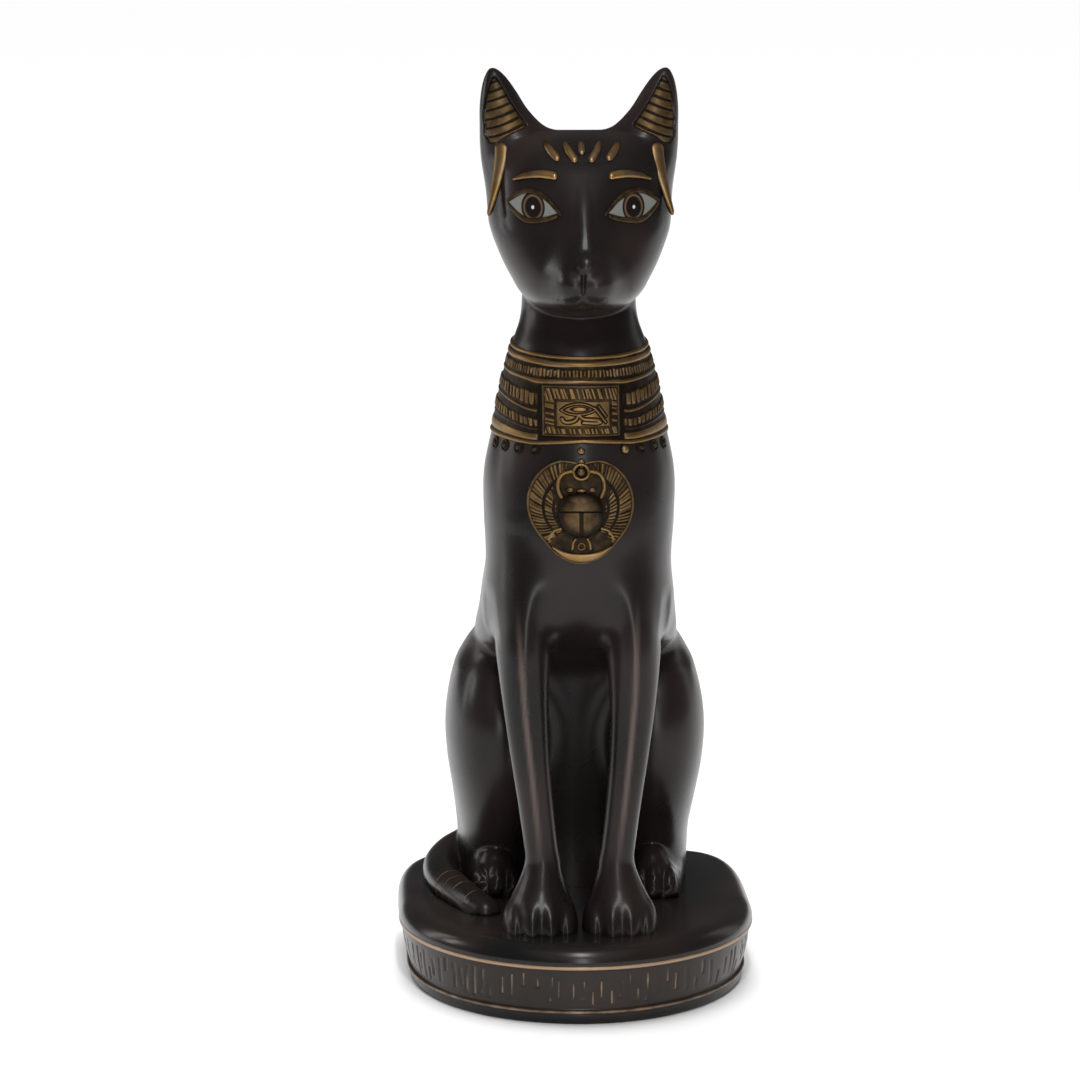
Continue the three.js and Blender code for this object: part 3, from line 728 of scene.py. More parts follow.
class Shader:
    """Builds one material's nodes."""

    def __init__(self, name: str) -> None:
        """Starts an empty material."""
        self.material = bpy.data.materials.new(name)
        self.material.use_nodes = True
        self.tree = self.material.node_tree
        self.tree.nodes.clear()

    def node(
        self, kind: str, settings: dict[str, Any] | None = None,
        inputs: dict[Any, Any] | None = None, output: Any = 0,
    ) -> Signal:
        """Adds one node.

        Args:
            kind: Type of the node.
            settings: Its settings, set before its sockets.
            inputs: Values or links of its sockets, by name or number.
            output: Name or number of the output that is wanted.

        Returns:
            The wanted output.
        """
        made = self.tree.nodes.new(kind)
        for key, value in (settings or {}).items():
            setattr(made, key, value)
        for key, value in (inputs or {}).items():
            if isinstance(value, Signal):
                self.tree.links.new(value.socket, made.inputs[key])
            else:
                made.inputs[key].default_value = value
        return Signal(self, made.outputs[output])

    def place(self) -> Signal:
        """The point's own place on the object, in metres."""
        return self.node("ShaderNodeTexCoord", output="Object")

    def attribute(self, name: str) -> Signal:
        """One of the mesh's own values."""
        return self.node("ShaderNodeAttribute", {"attribute_name": name}, output="Fac")

    def noise(self, size_mm: float, detail: float = 2.0) -> Signal:
        """Uneven value between 0 and 1 whose patches are about this size."""
        inputs = {"Vector": self.place(), "Scale": 1 / (size_mm * MM), "Detail": detail}
        return self.node("ShaderNodeTexNoise", {}, inputs, "Fac")

    def mix(self, share: Any, first: Any, second: Any) -> Signal:
        """Colour between two others."""
        inputs = {"Factor": share, 6: first, 7: second}
        return self.node("ShaderNodeMix", {"data_type": "RGBA"}, inputs, 2)

    def bump(self, height: Signal, strength: float, depth_mm: float) -> Signal:
        """Normal of a fine relief."""
        inputs = {"Strength": strength, "Distance": depth_mm * MM, "Height": height}
        return self.node("ShaderNodeBump", {}, inputs, "Normal")

    def finish(self, inputs: dict[str, Any]) -> bpy.types.Material:
        """Ends the material in one surface shader with these sockets."""
        surface = self.node("ShaderNodeBsdfPrincipled", {}, inputs, "BSDF")
        output = self.tree.nodes.new("ShaderNodeOutputMaterial")
        self.tree.links.new(surface.socket, output.inputs["Surface"])
        return self.material


Colour = tuple[float, float, float, float]


@dataclass(frozen=True)
class Resin:
    """Glossy near-black cast resin with a faint warm sheen, and paler shin lines that are a painted
    highlight with some rubbing.
    """

    deep: Colour = (0.0078, 0.0067, 0.0063, 1)
    warm: Colour = (0.02, 0.0138, 0.0125, 1)
    # colour of the shins' painted highlight and rubbing
    pale: Colour = (0.095, 0.069, 0.062, 1)
    roughness: float = 0.24

    def material(self) -> bpy.types.Material:
        """Builds the material."""
        shader = Shader("black_resin")
        cloud = shader.noise(34, 1).ramp(0.3, 0.75)
        uneven = shader.noise(9, 1)
        colour = shader.mix(cloud, self.deep, self.warm)
        return shader.finish({
            # paler along the shins: a painted highlight with some rubbing
            "Base Color": shader.mix(shader.attribute("shin_highlight_and_rub"), colour, self.pale),
            "Roughness": self.roughness + 0.05 * cloud + 0.05 * uneven,
            "Specular IOR Level": 0.22,
            "Normal": shader.bump(uneven, 0.2, 0.1),
        })


@dataclass(frozen=True)
class PlinthResin:
    """The plinth's black resin, washed brown on its band and gold on its ridges."""

    deep: Colour = (0.0075, 0.0072, 0.0075, 1)
    warm: Colour = (0.018, 0.013, 0.011, 1)
    washed: Colour = (0.032, 0.0215, 0.0145, 1)
    gold: Colour = (0.4, 0.27, 0.175, 1)

    def material(self) -> bpy.types.Material:
        """Builds the material, which reads how far each point is gilded."""
        shader = Shader("plinth_resin")
        cloud = shader.noise(30, 1).ramp(0.3, 0.75)
        grain = shader.noise(6, 1)
        gilt = shader.attribute("gilt")
        patches = shader.noise(5, 3)
        gold = (gilt + 0.35 * patches - 0.17).ramp(0.42, 0.85)
        wash = gilt.ramp(0.05, 0.3) * (0.35 + 0.5 * patches)
        colour = shader.mix(cloud, self.deep, self.warm)
        colour = shader.mix(wash, colour, self.washed)
        return shader.finish({
            "Base Color": shader.mix(gold, colour, self.gold),
            "Roughness": 0.2 + 0.26 * gilt.lowest(1.0) + 0.05 * grain,
            "Metallic": 0.4 * gold,
            "Specular IOR Level": 0.26,
            "Normal": shader.bump(grain, 0.03, 0.1),
        })


@dataclass(frozen=True)
class Gilding:
    """Dull gold paint, worn bright on what stands out and dark in the recesses."""

    name: str
    gold: Colour
    pale: Colour
    recess: Colour = (0.014, 0.009, 0.005, 1)
    roughness: float = 0.38
    metallic: float = 0.85

    def material(self) -> bpy.types.Material:
        """Builds the material, which reads how far each point is gilded."""
        shader = Shader(self.name)
        patches = shader.noise(2.6, 3)
        worn = (shader.attribute("gilt") + 0.5 * patches - 0.25).ramp(0.12, 0.9)
        gold = shader.mix(shader.noise(7, 2).ramp(0.4, 0.68), self.gold, self.pale)
        return shader.finish({
            "Base Color": shader.mix(worn, self.recess, gold),
            "Roughness": self.roughness + 0.12 * (1 - worn) + 0.08 * patches,
            "Metallic": self.metallic,
            "Normal": shader.bump(shader.noise(0.9, 1), 0.1, 0.08),
        })


@dataclass(frozen=True)
class EyePaint:
    """Painted eye: grey white, brown iris with fine rings, dark pupil and a light spot."""

    side: float
    iris: tuple[float, float] = (16.0, 232.1)
    white: Colour = (0.15, 0.155, 0.14, 1)
    brown: Colour = (0.022, 0.012, 0.008, 1)
    dark: Colour = (0.006, 0.004, 0.003, 1)
    line: Colour = (0.105, 0.072, 0.046, 1)
    spot: Colour = (0.6, 0.61, 0.6, 1)

    def material(self) -> bpy.types.Material:
        """Builds the material, which reads the point's place on the face."""
        shader = Shader("eye_paint_left" if self.side > 0 else "eye_paint_right")
        split = {"Vector": shader.place()}
        x = shader.node("ShaderNodeSeparateXYZ", {}, split, "X") * (1 / MM) - FIGURE_ORIGIN[0]
        z = shader.node("ShaderNodeSeparateXYZ", {}, split, "Z") * (1 / MM) - FIGURE_ORIGIN[2]
        across = x * self.side - self.iris[0]
        up = z - self.iris[1]
        away = (across * across + up * up * 0.6) ** 0.5
        iris = 1 - away.ramp(3.35, 3.5)
        ring = 1 - abs(away - 2.75).ramp(0.16, 0.3)
        edge = 1 - abs(away - 3.45).ramp(0.14, 0.28)
        pupil = 1 - away.ramp(2.25, 2.45)
        spot = 1 - ((across - 0.1) ** 2 + up * up * 0.6).ramp(0.06, 0.32)
        colour = shader.mix(iris, self.white, self.brown)
        colour = shader.mix(edge, colour, self.dark)
        colour = shader.mix(ring * 0.8, colour, self.line)
        colour = shader.mix(pupil, colour, self.dark)
        colour = shader.mix(spot * 0.85, colour, self.spot)
        colour = shader.mix(shader.attribute("gilt"), colour, self.dark)
        return shader.finish({
            "Base Color": colour,
            "Roughness": 0.42,
            "Specular IOR Level": 0.2,
            "Normal": shader.bump(shader.noise(0.6, 2), 0.05, 0.08),
        })


class Finish(Enum):
    """Finishes, by the record's material slots."""

    RESIN = "black_resin"
    ANTIQUE = "antique_gold"
    BRIGHT = "bright_gold"
    EYE = "eye_paint"


class Closing(Enum):
    """How a woven sheet becomes a closed piece."""

    SEAMS = "its edges meet"
    BACKED = "its border is carried back and filled"


@dataclass
class Laid:
    """Points of a woven sheet and how far each is gilded."""

    points: Array
    gilt: Array | None = None


Weaver = Callable[[Array, Array], Laid]


class Workshop:
    """Makes meshes, gives them their finish and hands the pieces to the frame."""

    def __init__(self, figure: Figure) -> None:
        """Keeps the figure, and makes the finishes that several pieces share."""
        self.figure = figure
        self.antique = Gilding(
            "antique_gold", gold=(0.2, 0.115, 0.04, 1), pale=(0.225, 0.145, 0.07, 1),
        ).material()
        self.bright = Gilding(
            "bright_gold", gold=(0.31, 0.18, 0.065, 1), pale=(0.24, 0.155, 0.09, 1), roughness=0.32,
        ).material()
        self.resin = Resin().material()
        self.triangles = 0

    def weave(
        self, name: str, columns: int, rows: int, lay: Weaver,
        closing: Closing = Closing.SEAMS, back: float = 2.0,
    ) -> bpy.types.Object:
        """Makes a closed piece from a grid whose points are laid in place.

        Args:
            name: Name of the piece.
            columns: Faces across the grid.
            rows: Faces up the grid.
            lay: Puts points in place by their shares across and up the grid.
            closing: How the sheet is closed.
            back: How far a backed border is carried back, in millimetres.

        Returns:
            The piece.
        """
        mesh = bpy.data.meshes.new(name)
        sheet = bmesh.new()
        bmesh.ops.create_grid(sheet, x_segments=columns, y_segments=rows, size=1.0)
        sheet.to_mesh(mesh)
        shares = read_points(mesh)[:, :2] / 2 + 0.5
        laid = lay(shares[:, 0], shares[:, 1])
        write_points(mesh, to_world(laid.points))
        if laid.gilt is not None:
            mesh.attributes.new("gilt", "FLOAT", "POINT").data.foreach_set("value", laid.gilt)
        sheet.clear()
        sheet.from_mesh(mesh)
        bmesh.ops.remove_doubles(sheet, verts=sheet.verts[:], dist=SEAM)
        if closing is Closing.BACKED:
            border = [edge for edge in sheet.edges if edge.is_boundary]
            carried = bmesh.ops.extrude_edge_only(sheet, edges=border)["geom"]
            points = [item for item in carried if isinstance(item, bmesh.types.BMVert)]
            bmesh.ops.translate(sheet, verts=points, vec=(0, back * MM, 0))
            rim = [edge for edge in sheet.edges if edge.is_boundary]
            bmesh.ops.triangle_fill(sheet, edges=rim, use_beauty=True)
        bmesh.ops.recalc_face_normals(sheet, faces=sheet.faces[:])
        sheet.to_mesh(mesh)
        sheet.free()
        mesh.shade_smooth()
        return self.shown(bpy.data.objects.new(name, mesh))

    def shown(self, piece: bpy.types.Object) -> bpy.types.Object:
        """Puts a piece in the scene."""
        bpy.context.scene.collection.objects.link(piece)
        return piece

    def publish(
        self, piece: bpy.types.Object, finish: Finish, material: bpy.types.Material,
        stands_for_node: bool = False,
    ) -> None:
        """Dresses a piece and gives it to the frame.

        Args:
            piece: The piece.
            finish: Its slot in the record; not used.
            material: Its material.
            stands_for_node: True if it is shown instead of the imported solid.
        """
        piece.data.materials.clear()
        piece.data.materials.append(material)
        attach(piece, "root")
        if stands_for_node:
            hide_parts(NODE)
        faces = sum(len(polygon.vertices) - 2 for polygon in piece.data.polygons)
        self.triangles += faces
        log.info("%s: %d triangles", piece.name, faces)


def read_points(mesh: bpy.types.Mesh) -> Array:
    """Coordinates of a mesh's points."""
    flat = np.empty(len(mesh.vertices) * 3, np.float32)
    mesh.vertices.foreach_get("co", flat)
    return flat.reshape(-1, 3).astype(float)


def write_points(mesh: bpy.types.Mesh, points: Array) -> None:
    """Sets the coordinates of a mesh's points."""
    mesh.vertices.foreach_set("co", points.astype(np.float32).ravel())
    mesh.update()


@dataclass
class Skins:
    """The cat's black skins: body and head, which meet under the collar."""

    shop: Workshop
    body_cell: float = 1.02
    head_cell: float = 0.55
    join: float = 170.0  # the skins meet at this height
    overlap: float = 1.5
    sunk: float = 1.2  # the feet reach this far into the plinth
    beyond: float = 400.0  # a height above all of the figure
    clearance: float = 0.05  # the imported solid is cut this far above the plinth
    evening: tuple[int, ...] = (6, 4, 3)  # how often the points are relaxed before each settling
    settling: int = 4
    paw_top: float = 13.0
    paw_back: float = -30.0

    def build(self) -> None:
        """Makes and dresses both skins."""
        body, whole = self.shop.figure.body, self.shop.figure.whole
        self.grow("cat_body", body, -self.sunk, self.join + self.overlap, self.body_cell)
        self.grow("cat_head", whole, self.join - self.overlap, self.beyond, self.head_cell)

    def cut_out(self, low: float, high: float) -> bmesh.types.BMesh:
        """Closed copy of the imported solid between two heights."""
        solid = bmesh.new()
        solid.from_mesh(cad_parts[NODE].data)
        bmesh.ops.remove_doubles(solid, verts=solid.verts[:], dist=SEAM)
        cuts = [(max(low, self.clearance), True)]
        if high < self.beyond:
            cuts.append((high, False))
        for height, keep_above in cuts:
            place = (0, 0, (height + FIGURE_ORIGIN[2]) * MM)
            bmesh.ops.bisect_plane(
                solid, geom=solid.verts[:] + solid.edges[:] + solid.faces[:], plane_co=place,
                plane_no=(0, 0, 1), clear_inner=keep_above, clear_outer=not keep_above,
            )
            rim = [edge for edge in solid.edges if edge.is_boundary]
            if height != low and keep_above:
                carried = bmesh.ops.extrude_edge_only(solid, edges=rim)["geom"]
                points = [item for item in carried if isinstance(item, bmesh.types.BMVert)]
                bmesh.ops.translate(solid, verts=points, vec=(0, 0, (low - height) * MM))
                rim = [edge for edge in solid.edges if edge.is_boundary]
            bmesh.ops.triangle_fill(solid, edges=rim, use_beauty=True)
        bmesh.ops.recalc_face_normals(solid, faces=solid.faces[:])
        return solid

    def grow(self, name: str, form: Form, low: float, high: float, cell: float) -> None:
        """Makes one skin.

        Args:
            name: Name of the piece.
            form: Form that the skin follows.
            low: Height of its lower end.
            high: Height of its upper end.
            cell: Size of its faces.
        """
        solid = self.cut_out(low, high)
        rough = bpy.data.meshes.new(name + "_rough")
        solid.to_mesh(rough)
        solid.free()
        carrier = self.shop.shown(bpy.data.objects.new(name + "_rough", rough))
        remesh = carrier.modifiers.new("even", "REMESH")
        remesh.mode = "VOXEL"
        remesh.voxel_size = cell * MM
        ready = carrier.evaluated_get(bpy.context.evaluated_depsgraph_get())
        mesh = bpy.data.meshes.new_from_object(ready)
        mesh.name = name
        bpy.data.objects.remove(carrier)
        if low < 0:
            self.refine_paws(mesh)
        limited = Between(form, low, high)
        for rounds in self.evening:
            self.even_out(mesh, rounds)
            relaxed = read_points(mesh) / MM - FIGURE_ORIGIN
            points, outward = settle(limited, relaxed, self.settling)
            write_points(mesh, to_world(points))
        # paler shin lines: a painted highlight with some rubbing, kept on the skin's points
        shin_highlight_and_rub = self.shop.figure.shin_highlight_and_rub(points)
        mesh.attributes.new("shin_highlight_and_rub", "FLOAT", "POINT").data.foreach_set("value", shin_highlight_and_rub)
        mesh.shade_smooth()
        mesh.normals_split_custom_set_from_vertices(outward)
        piece = self.shop.shown(bpy.data.objects.new(name, mesh))
        self.shop.publish(piece, Finish.RESIN, self.shop.resin, stands_for_node=True)

    def refine_paws(self, mesh: bpy.types.Mesh) -> None:
        """Halves the faces of the paws, where the toes need them."""
        skin = bmesh.new()
        skin.from_mesh(mesh)
        low, back = (FIGURE_ORIGIN[2] + self.paw_top) * MM, self.paw_back * MM
        paws = [
            edge for edge in skin.edges
            if all(point.co.z < low and point.co.y < back for point in edge.verts)
        ]
        bmesh.ops.subdivide_edges(skin, edges=paws, cuts=1, use_grid_fill=True)
        skin.to_mesh(mesh)
        skin.free()

    def even_out(self, mesh: bpy.types.Mesh, rounds: int) -> None:
        """Relaxes the points of a skin between their neighbours, so many times."""
        skin = bmesh.new()
        skin.from_mesh(mesh)
        for _ in range(rounds):
            bmesh.ops.smooth_vert(
                skin, verts=skin.verts[:], factor=0.5, use_axis_x=True, use_axis_y=True,
                use_axis_z=True,
            )
        skin.to_mesh(mesh)
        skin.free()


@dataclass
class Plinth:
    """Oval plinth with a rounded lip, two gilded ridges and a band of shallow strokes."""

    shop: Workshop
    half_width: float = 58.8
    half_depth: float = 70.5
    height: float = 25.5
    front_power: float = 2.0
    back_power: float = 5.0
    lip: float = 6.2
    ridge: float = 1.7
    band_depth: float = 1.1
    side_taper: float = 2.6
    front_taper: float = 0.2
    foot_height: float = 3.2
    foot_inset: float = 1.4
    stroke_depth: float = 0.5
    stroke_half_width: float = 0.5
    stroke_lean: float = 0.08
    # Foot and head of the strokes as shares of the band, and the steps between them
    stroke_spans: Rows = ((0.14, 0.84), (0.14, 0.45), (0.55, 0.86), (0.2, 0.8), (0.3, 0.7))
    stroke_steps: tuple[float, ...] = (2.4, 3.1, 4.3)
    sway: float = 0.16  # how far the ridges wander up and down
    swell: float = 0.18  # how uneven the top is
    columns: int = 620
    perimeter: float = 404.0
    outline_steps: int = 6000
    probe: float = 0.4  # how far apart the outline's way is read

    def outline(self, share: Array) -> tuple[Array, Array]:
        """Plan of the plinth.

        Args:
            share: Share of the way round, from the middle of the back.

        Returns:
            The places on the outline, and the level way out at each.
        """
        angle = np.linspace(math.pi / 2, math.pi / 2 + 2 * math.pi, self.outline_steps)
        power = np.where(np.sin(angle) > 0, self.back_power, self.front_power)
        across = np.sign(np.cos(angle)) * np.abs(np.cos(angle)) ** (2 / power)
        along = np.sign(np.sin(angle)) * np.abs(np.sin(angle)) ** (2 / power)
        fine = np.stack([self.half_width * across, self.half_depth * along], axis=1)
        reached = np.concatenate([[0], np.cumsum(np.linalg.norm(np.diff(fine, axis=0), axis=1))])
        places = []
        for shift in (-self.probe, 0, self.probe):
            at = (share * reached[-1] + shift) % reached[-1]
            places.append(np.stack([np.interp(at, reached, column) for column in fine.T], axis=1))
        way = places[2] - places[0]
        return places[1], unit(np.stack([way[:, 1], -way[:, 0]], axis=1))

    def profile(self) -> Array:
        """Rows of inset, height, share of the band's taper, share of band and gilding."""
        band_foot = self.foot_height + self.ridge
        band_head = self.height - self.lip - self.ridge
        rows = [(self.half_width, 0, 1, 0, 0)]
        rows += [(self.foot_inset + 12, 0, 1, 0, 0), (self.foot_inset + 2, 0, 1, 0, 0)]
        for turn in np.linspace(0, math.pi / 2, 9):
            inset = self.foot_inset * (1 - math.sin(turn)) + self.band_depth / 2
            rows.append((inset, self.foot_height * (1 - math.cos(turn)), 1, 0, 0))
        rows += self.ridge_rows(self.foot_height, 1, 1, 1, 0.62)
        for share in np.linspace(0, 1, 52):
            height = band_foot + share * (band_head - band_foot)
            rows.append((self.band_depth, height, (1 - share) ** 2, 1, 0.25))
        rows += self.ridge_rows(band_head, 0, 1, 1 / 3, 1.0)
        for turn in np.linspace(0.12, math.pi / 2, 16):
            height = self.height - self.lip * (1 - math.sin(turn))
            rows.append((self.lip * (1 - math.cos(turn)), height, 0, 0, 0))
        for inset in np.linspace(self.lip + 0.8, self.half_width, 60):
            rows.append((inset, self.height, 0, 0, 0))
        return np.array(rows, float)

    def ridge_rows(
        self, foot: float, taper: float, below: float, above: float, gilt: float,
    ) -> list[tuple]:
        """Rows of a round gilded ridge over a height, seated at shares of the band's depth."""
        rows = []
        for share in np.linspace(0, 1, 11)[1:-1]:
            seat = self.band_depth * (below + (above - below) * share)
            proud = math.sin(math.pi * share) ** 0.7
            rows.append((seat * (1 - proud), foot + self.ridge * share, taper, 0, gilt * proud))
        return rows

    def strokes(self, along: Array, up: Array, tall: float) -> Array:
        """Depth of the band's strokes, which stand for its inscription without any letters.

        Args:
            along: Way round the plinth in millimetres.
            up: Share of the band's height.
            tall: The band's height.

        Returns:
            Depth of the relief at each place, from 0 to 1.
        """
        chance = np.random.default_rng(SEED)
        depth = np.zeros_like(along)
        place, end = 2.0, along.max() - 2.0
        while place < end:
            lean = chance.uniform(-self.stroke_lean, self.stroke_lean)
            low, high = chance.choice(self.stroke_spans)
            offset = np.abs(along - place - lean * (up - 0.5) * tall)
            ends = np.maximum(np.maximum(low - up, up - high) * tall, 0)
            depth = np.maximum(depth, mound(np.hypot(offset, ends) / self.stroke_half_width))
            place += chance.choice(self.stroke_steps)
        return depth

    def build(self) -> None:
        """Makes and dresses the plinth."""
        rows = self.profile()
        keys = np.arange(len(rows))

        def lay(across: Array, up: Array) -> Laid:
            """Bends the rows round the outline."""
            at = up * (len(rows) - 1)
            inset, height, taper, band, gilt = (np.interp(at, keys, column) for column in rows.T)
            place, out = self.outline(across)
            tall = self.height - self.lip - self.foot_height - 2 * self.ridge
            level = (height - self.foot_height - self.ridge) / tall
            depth = self.strokes(across * self.perimeter, level, tall) * (band > 0.99)
            sideways = np.where(out[:, 0] < 0, out[:, 0] ** 6, out[:, 0] ** 2)
            narrowing = taper * (self.side_taper * sideways + self.front_taper * out[:, 1] ** 2)
            flat = inset > self.lip + 0.5
            near = place - out * (inset + narrowing + self.stroke_depth * depth)[:, None]
            edge = place - out * (np.minimum(inset, self.lip + 0.5) + narrowing)[:, None]
            reach = (self.half_width - inset) / (self.half_width - self.lip - 0.5)
            inner = edge * np.clip(reach, 0, 1)[:, None]
            plan = np.where(flat[:, None], inner, near)
            sway = np.where(band + gilt > 0, self.sway * wander(across, 9, SEED), 0)
            swell = self.swell * wander(plan[:, 0] / 140 + 0.5, 3, 3)
            swell = swell * wander(plan[:, 1] / 150 + 0.5, 3, 5)
            top = (height > self.height - 0.01) * ramp(inset, self.lip, self.lip + 8)
            level = height + sway - FIGURE_ORIGIN[2] + swell * top
            points = np.stack([plan[:, 0] - FIGURE_ORIGIN[0], plan[:, 1], level], axis=1)
            # The strokes are tinted towards the front only: partly their bronze paint, partly a
            # painted highlight in place of the shallow grooves' own light and shade there.
            return Laid(points, gilt + 0.42 * depth * ramp(-place[:, 1], 20, 60))

        piece = self.shop.weave("plinth", self.columns, len(rows) - 1, lay)
        self.shop.publish(piece, Finish.RESIN, PlinthResin().material(), stands_for_node=True)


Ground = Callable[[Array, Array], tuple[Array, Array]]


@dataclass(frozen=True)
class Bar:
    """Raised bar with round ends, laid along a line on the figure."""

    path: Rows
    half_widths: tuple[float, ...]  # at even shares of the path
    rise: float
    sink: float = 0.5
    gilt: float = 1.0
    fade: tuple[float, float] = (1.0, 1.0)  # share of the gilding left at either end
    steps: int = 90

    def weaver(self, ground: Ground) -> Weaver:
        """What lays the bar's grid on some ground."""
        line = smooth_path(self.path, self.steps)
        length = float(np.linalg.norm(np.diff(line, axis=0), axis=1).sum())
        ways = unit(np.gradient(line, axis=0))
        keys = np.arange(self.steps)
        widths = (np.linspace(0, 1, len(self.half_widths)), self.half_widths)

        def lay(around: Array, along: Array) -> Laid:
            """Lays the section round each place of the line."""
            share = (1 - np.cos(math.pi * along)) / 2
            at = share * (self.steps - 1)
            place, way = (
                np.stack([np.interp(at, keys, column) for column in table.T], axis=1)
                for table in (line, ways)
            )
            half_width = np.interp(share, *widths)
            end = np.ones_like(share)
            for gap in (share * length, (1 - share) * length):
                end *= np.sqrt(1 - np.clip(1 - gap / half_width, 0, 1) ** 2)
            turn = 2 * math.pi * around
            aside, lift = half_width * end * np.cos(turn), np.sin(turn)
            x, z = place[:, 0] - way[:, 1] * aside, place[:, 1] + way[:, 0] * aside
            points, out = ground(x, z)
            height = np.where(lift > 0, self.rise * np.abs(lift) ** 0.8, self.sink * lift)
            kept = self.fade[0] + (self.fade[1] - self.fade[0]) * ramp(share, 0, 0.7)
            gilt = self.gilt * kept * ramp(lift * end, 0.1, 0.6)
            return Laid(points + out * (height * end)[:, None], gilt)

        return lay


@dataclass
class Face:
    """Gilded brows, forehead marks, lids and straps, the painted eyes and the ears' panels."""

    shop: Workshop
    brow: Rows = ((8, 241.3), (10.6, 241.9), (14.3, 242), (18.3, 241.3), (21.8, 239.9))
    brow_widths: tuple[float, ...] = (1.2, 1.35, 1.2, 0.95, 0.3)
    marks: tuple[Rows, ...] = (
        ((-0.3, 251.8), (-0.1, 248)), ((5.9, 251.7), (4.4, 248.8), (2.2, 245.9)),
        ((-5.6, 251.7), (-4.1, 248.8), (-1.9, 245.9)), ((12.3, 252), (10.3, 249.1), (7.8, 246.4)),
        ((-11.9, 252), (-10, 249.1), (-7.4, 246.4)),
    )
    mark_widths: tuple[float, ...] = (0.7, 1.15, 1.2, 1.1)
    upper_lid: Rows = (
        (6.3, 229.7), (8.4, 232), (10.6, 234.2), (13, 235.8), (15.8, 236.9), (18.6, 236.9),
        (21, 235.9), (24.7, 233.4),
    )
    lower_lid: Rows = (
        (7.6, 229.6), (11.5, 228.4), (17.2, 227.8), (19.6, 228.6), (22, 230.4), (24.4, 233),
    )
    lid_widths: tuple[float, ...] = (0.4, 0.72, 0.85, 0.88, 0.85, 0.7, 0.45)
    strap: Rows = ((24.9, 251.2), (25.2, 246.5), (26.2, 241), (27.7, 234.6), (29.4, 228.6))
    strap_widths: tuple[float, ...] = (2.4, 2.3, 1.85, 1.35, 0.8)
    strap_shift: float = -0.4
    strap_length: float = 22.0
    strap_end: float = 1.8  # how far its ends are rounded off
    strap_rise: float = 1.15
    strap_lean: float = 0.55
    strap_steps: int = 60
    ground_limit: float = 25.4  # further out than this the straps keep the ground's depth
    eye_middle: float = 16.0
    right_eye: float = 0.92  # the cat's right eye is a little shorter
    ear_middle: float = 26.0
    ear_pitch: float = 2.87
    ear_slant: float = 0.33
    columns: int = 20
    rows: int = 60

    def bar(self, name: str, bar: Bar, finish: Finish) -> None:
        """Makes and dresses one bar."""
        material = self.shop.bright if finish is Finish.BRIGHT else self.shop.antique
        piece = self.shop.weave(name, self.columns, self.rows, bar.weaver(self.shop.figure.front))
        self.shop.publish(piece, finish, material)

    def build(self) -> None:
        """Makes and dresses everything on the face."""
        for number, mark in enumerate(self.marks, start=1):
            worn = 0.35 if number > 3 else 0.55
            bar = Bar(mark, self.mark_widths, rise=0.95, gilt=0.95, fade=(worn, 1.0))
            self.bar(f"forehead_mark_{number}", bar, Finish.BRIGHT)
        for side, word in ((1, "left"), (-1, "right")):
            path = tuple((side * x, z) for x, z in self.brow)
            brow = Bar(path, self.brow_widths, rise=1.15, gilt=0.92, fade=(1.0, 0.6))
            self.bar(f"brow_{word}", brow, Finish.BRIGHT)
            lids = (("upper", self.upper_lid, (0.62, 0.75)), ("lower", self.lower_lid, (0.85, 0.8)))
            for which, rows, kept in lids:
                path = self.drawn_in(rows, side)
                lid = Bar(path, self.lid_widths, rise=0.6, gilt=0.46, fade=kept)
                self.bar(f"{which}_lid_{word}", lid, Finish.ANTIQUE)
            self.strap_piece(word, side)
            self.eye(word, side)
            self.ear_panel(word, side)

    def strap_piece(self, word: str, side: int) -> None:
        """Makes and dresses the tapering strap before one ear."""
        path = tuple((side * x + self.strap_shift, z) for x, z in self.strap)
        line = smooth_path(path, self.strap_steps)
        inward = np.clip(np.abs(line[:, 0]), 0, self.ground_limit) * side
        ground, _ = self.shop.figure.front(inward, line[:, 1])
        given = np.linspace(0, 1, len(self.strap_widths))
        widths = np.interp(np.linspace(0, 1, self.strap_steps), given, self.strap_widths)
        out = unit(np.array([[side * self.strap_lean, -1.0, 0.0]]))[0]
        across = np.array([-out[1], out[0], 0.0])
        keys = np.arange(self.strap_steps)

        def lay(around: Array, along: Array) -> Laid:
            """Lays a flattened round section along the line."""
            share = (1 - np.cos(math.pi * along)) / 2
            at = share * (self.strap_steps - 1)
            middle = np.stack([
                np.interp(at, keys, line[:, 0]), np.interp(at, keys, ground[:, 1]) + 0.4,
                np.interp(at, keys, line[:, 1]),
            ], axis=1)
            gap = np.minimum(share, 1 - share) * self.strap_length
            end = np.sqrt(1 - np.clip(1 - gap / self.strap_end, 0, 1) ** 2)
            width = np.interp(at, keys, widths) * end
            turn = 2 * math.pi * around
            offset = (width * np.cos(turn))[:, None] * across
            offset = offset + (self.strap_rise * end * np.sin(turn))[:, None] * out
            return Laid(middle + offset, 0.72 * ramp(np.sin(turn) * end, 0.05, 0.5))

        piece = self.shop.weave(f"strap_{word}", self.columns + 4, self.rows, lay)
        self.shop.publish(piece, Finish.ANTIQUE, self.shop.antique)

    def drawn_in(self, rows: Rows, side: int) -> Rows:
        """Line of an eye on one side."""
        length, middle = 1.0 if side > 0 else self.right_eye, self.eye_middle
        return tuple((side * (middle + (x - middle) * length), z) for x, z in rows)

    def eye(self, word: str, side: int) -> None:
        """Makes and dresses one painted eyeball between its lids."""
        lower, upper = (
            smooth_path(self.drawn_in(rows, side), 60) for rows in (self.lower_lid, self.upper_lid)
        )
        start, end = (max(line[index, 0] * side for line in (lower, upper)) for index in (0, -1))

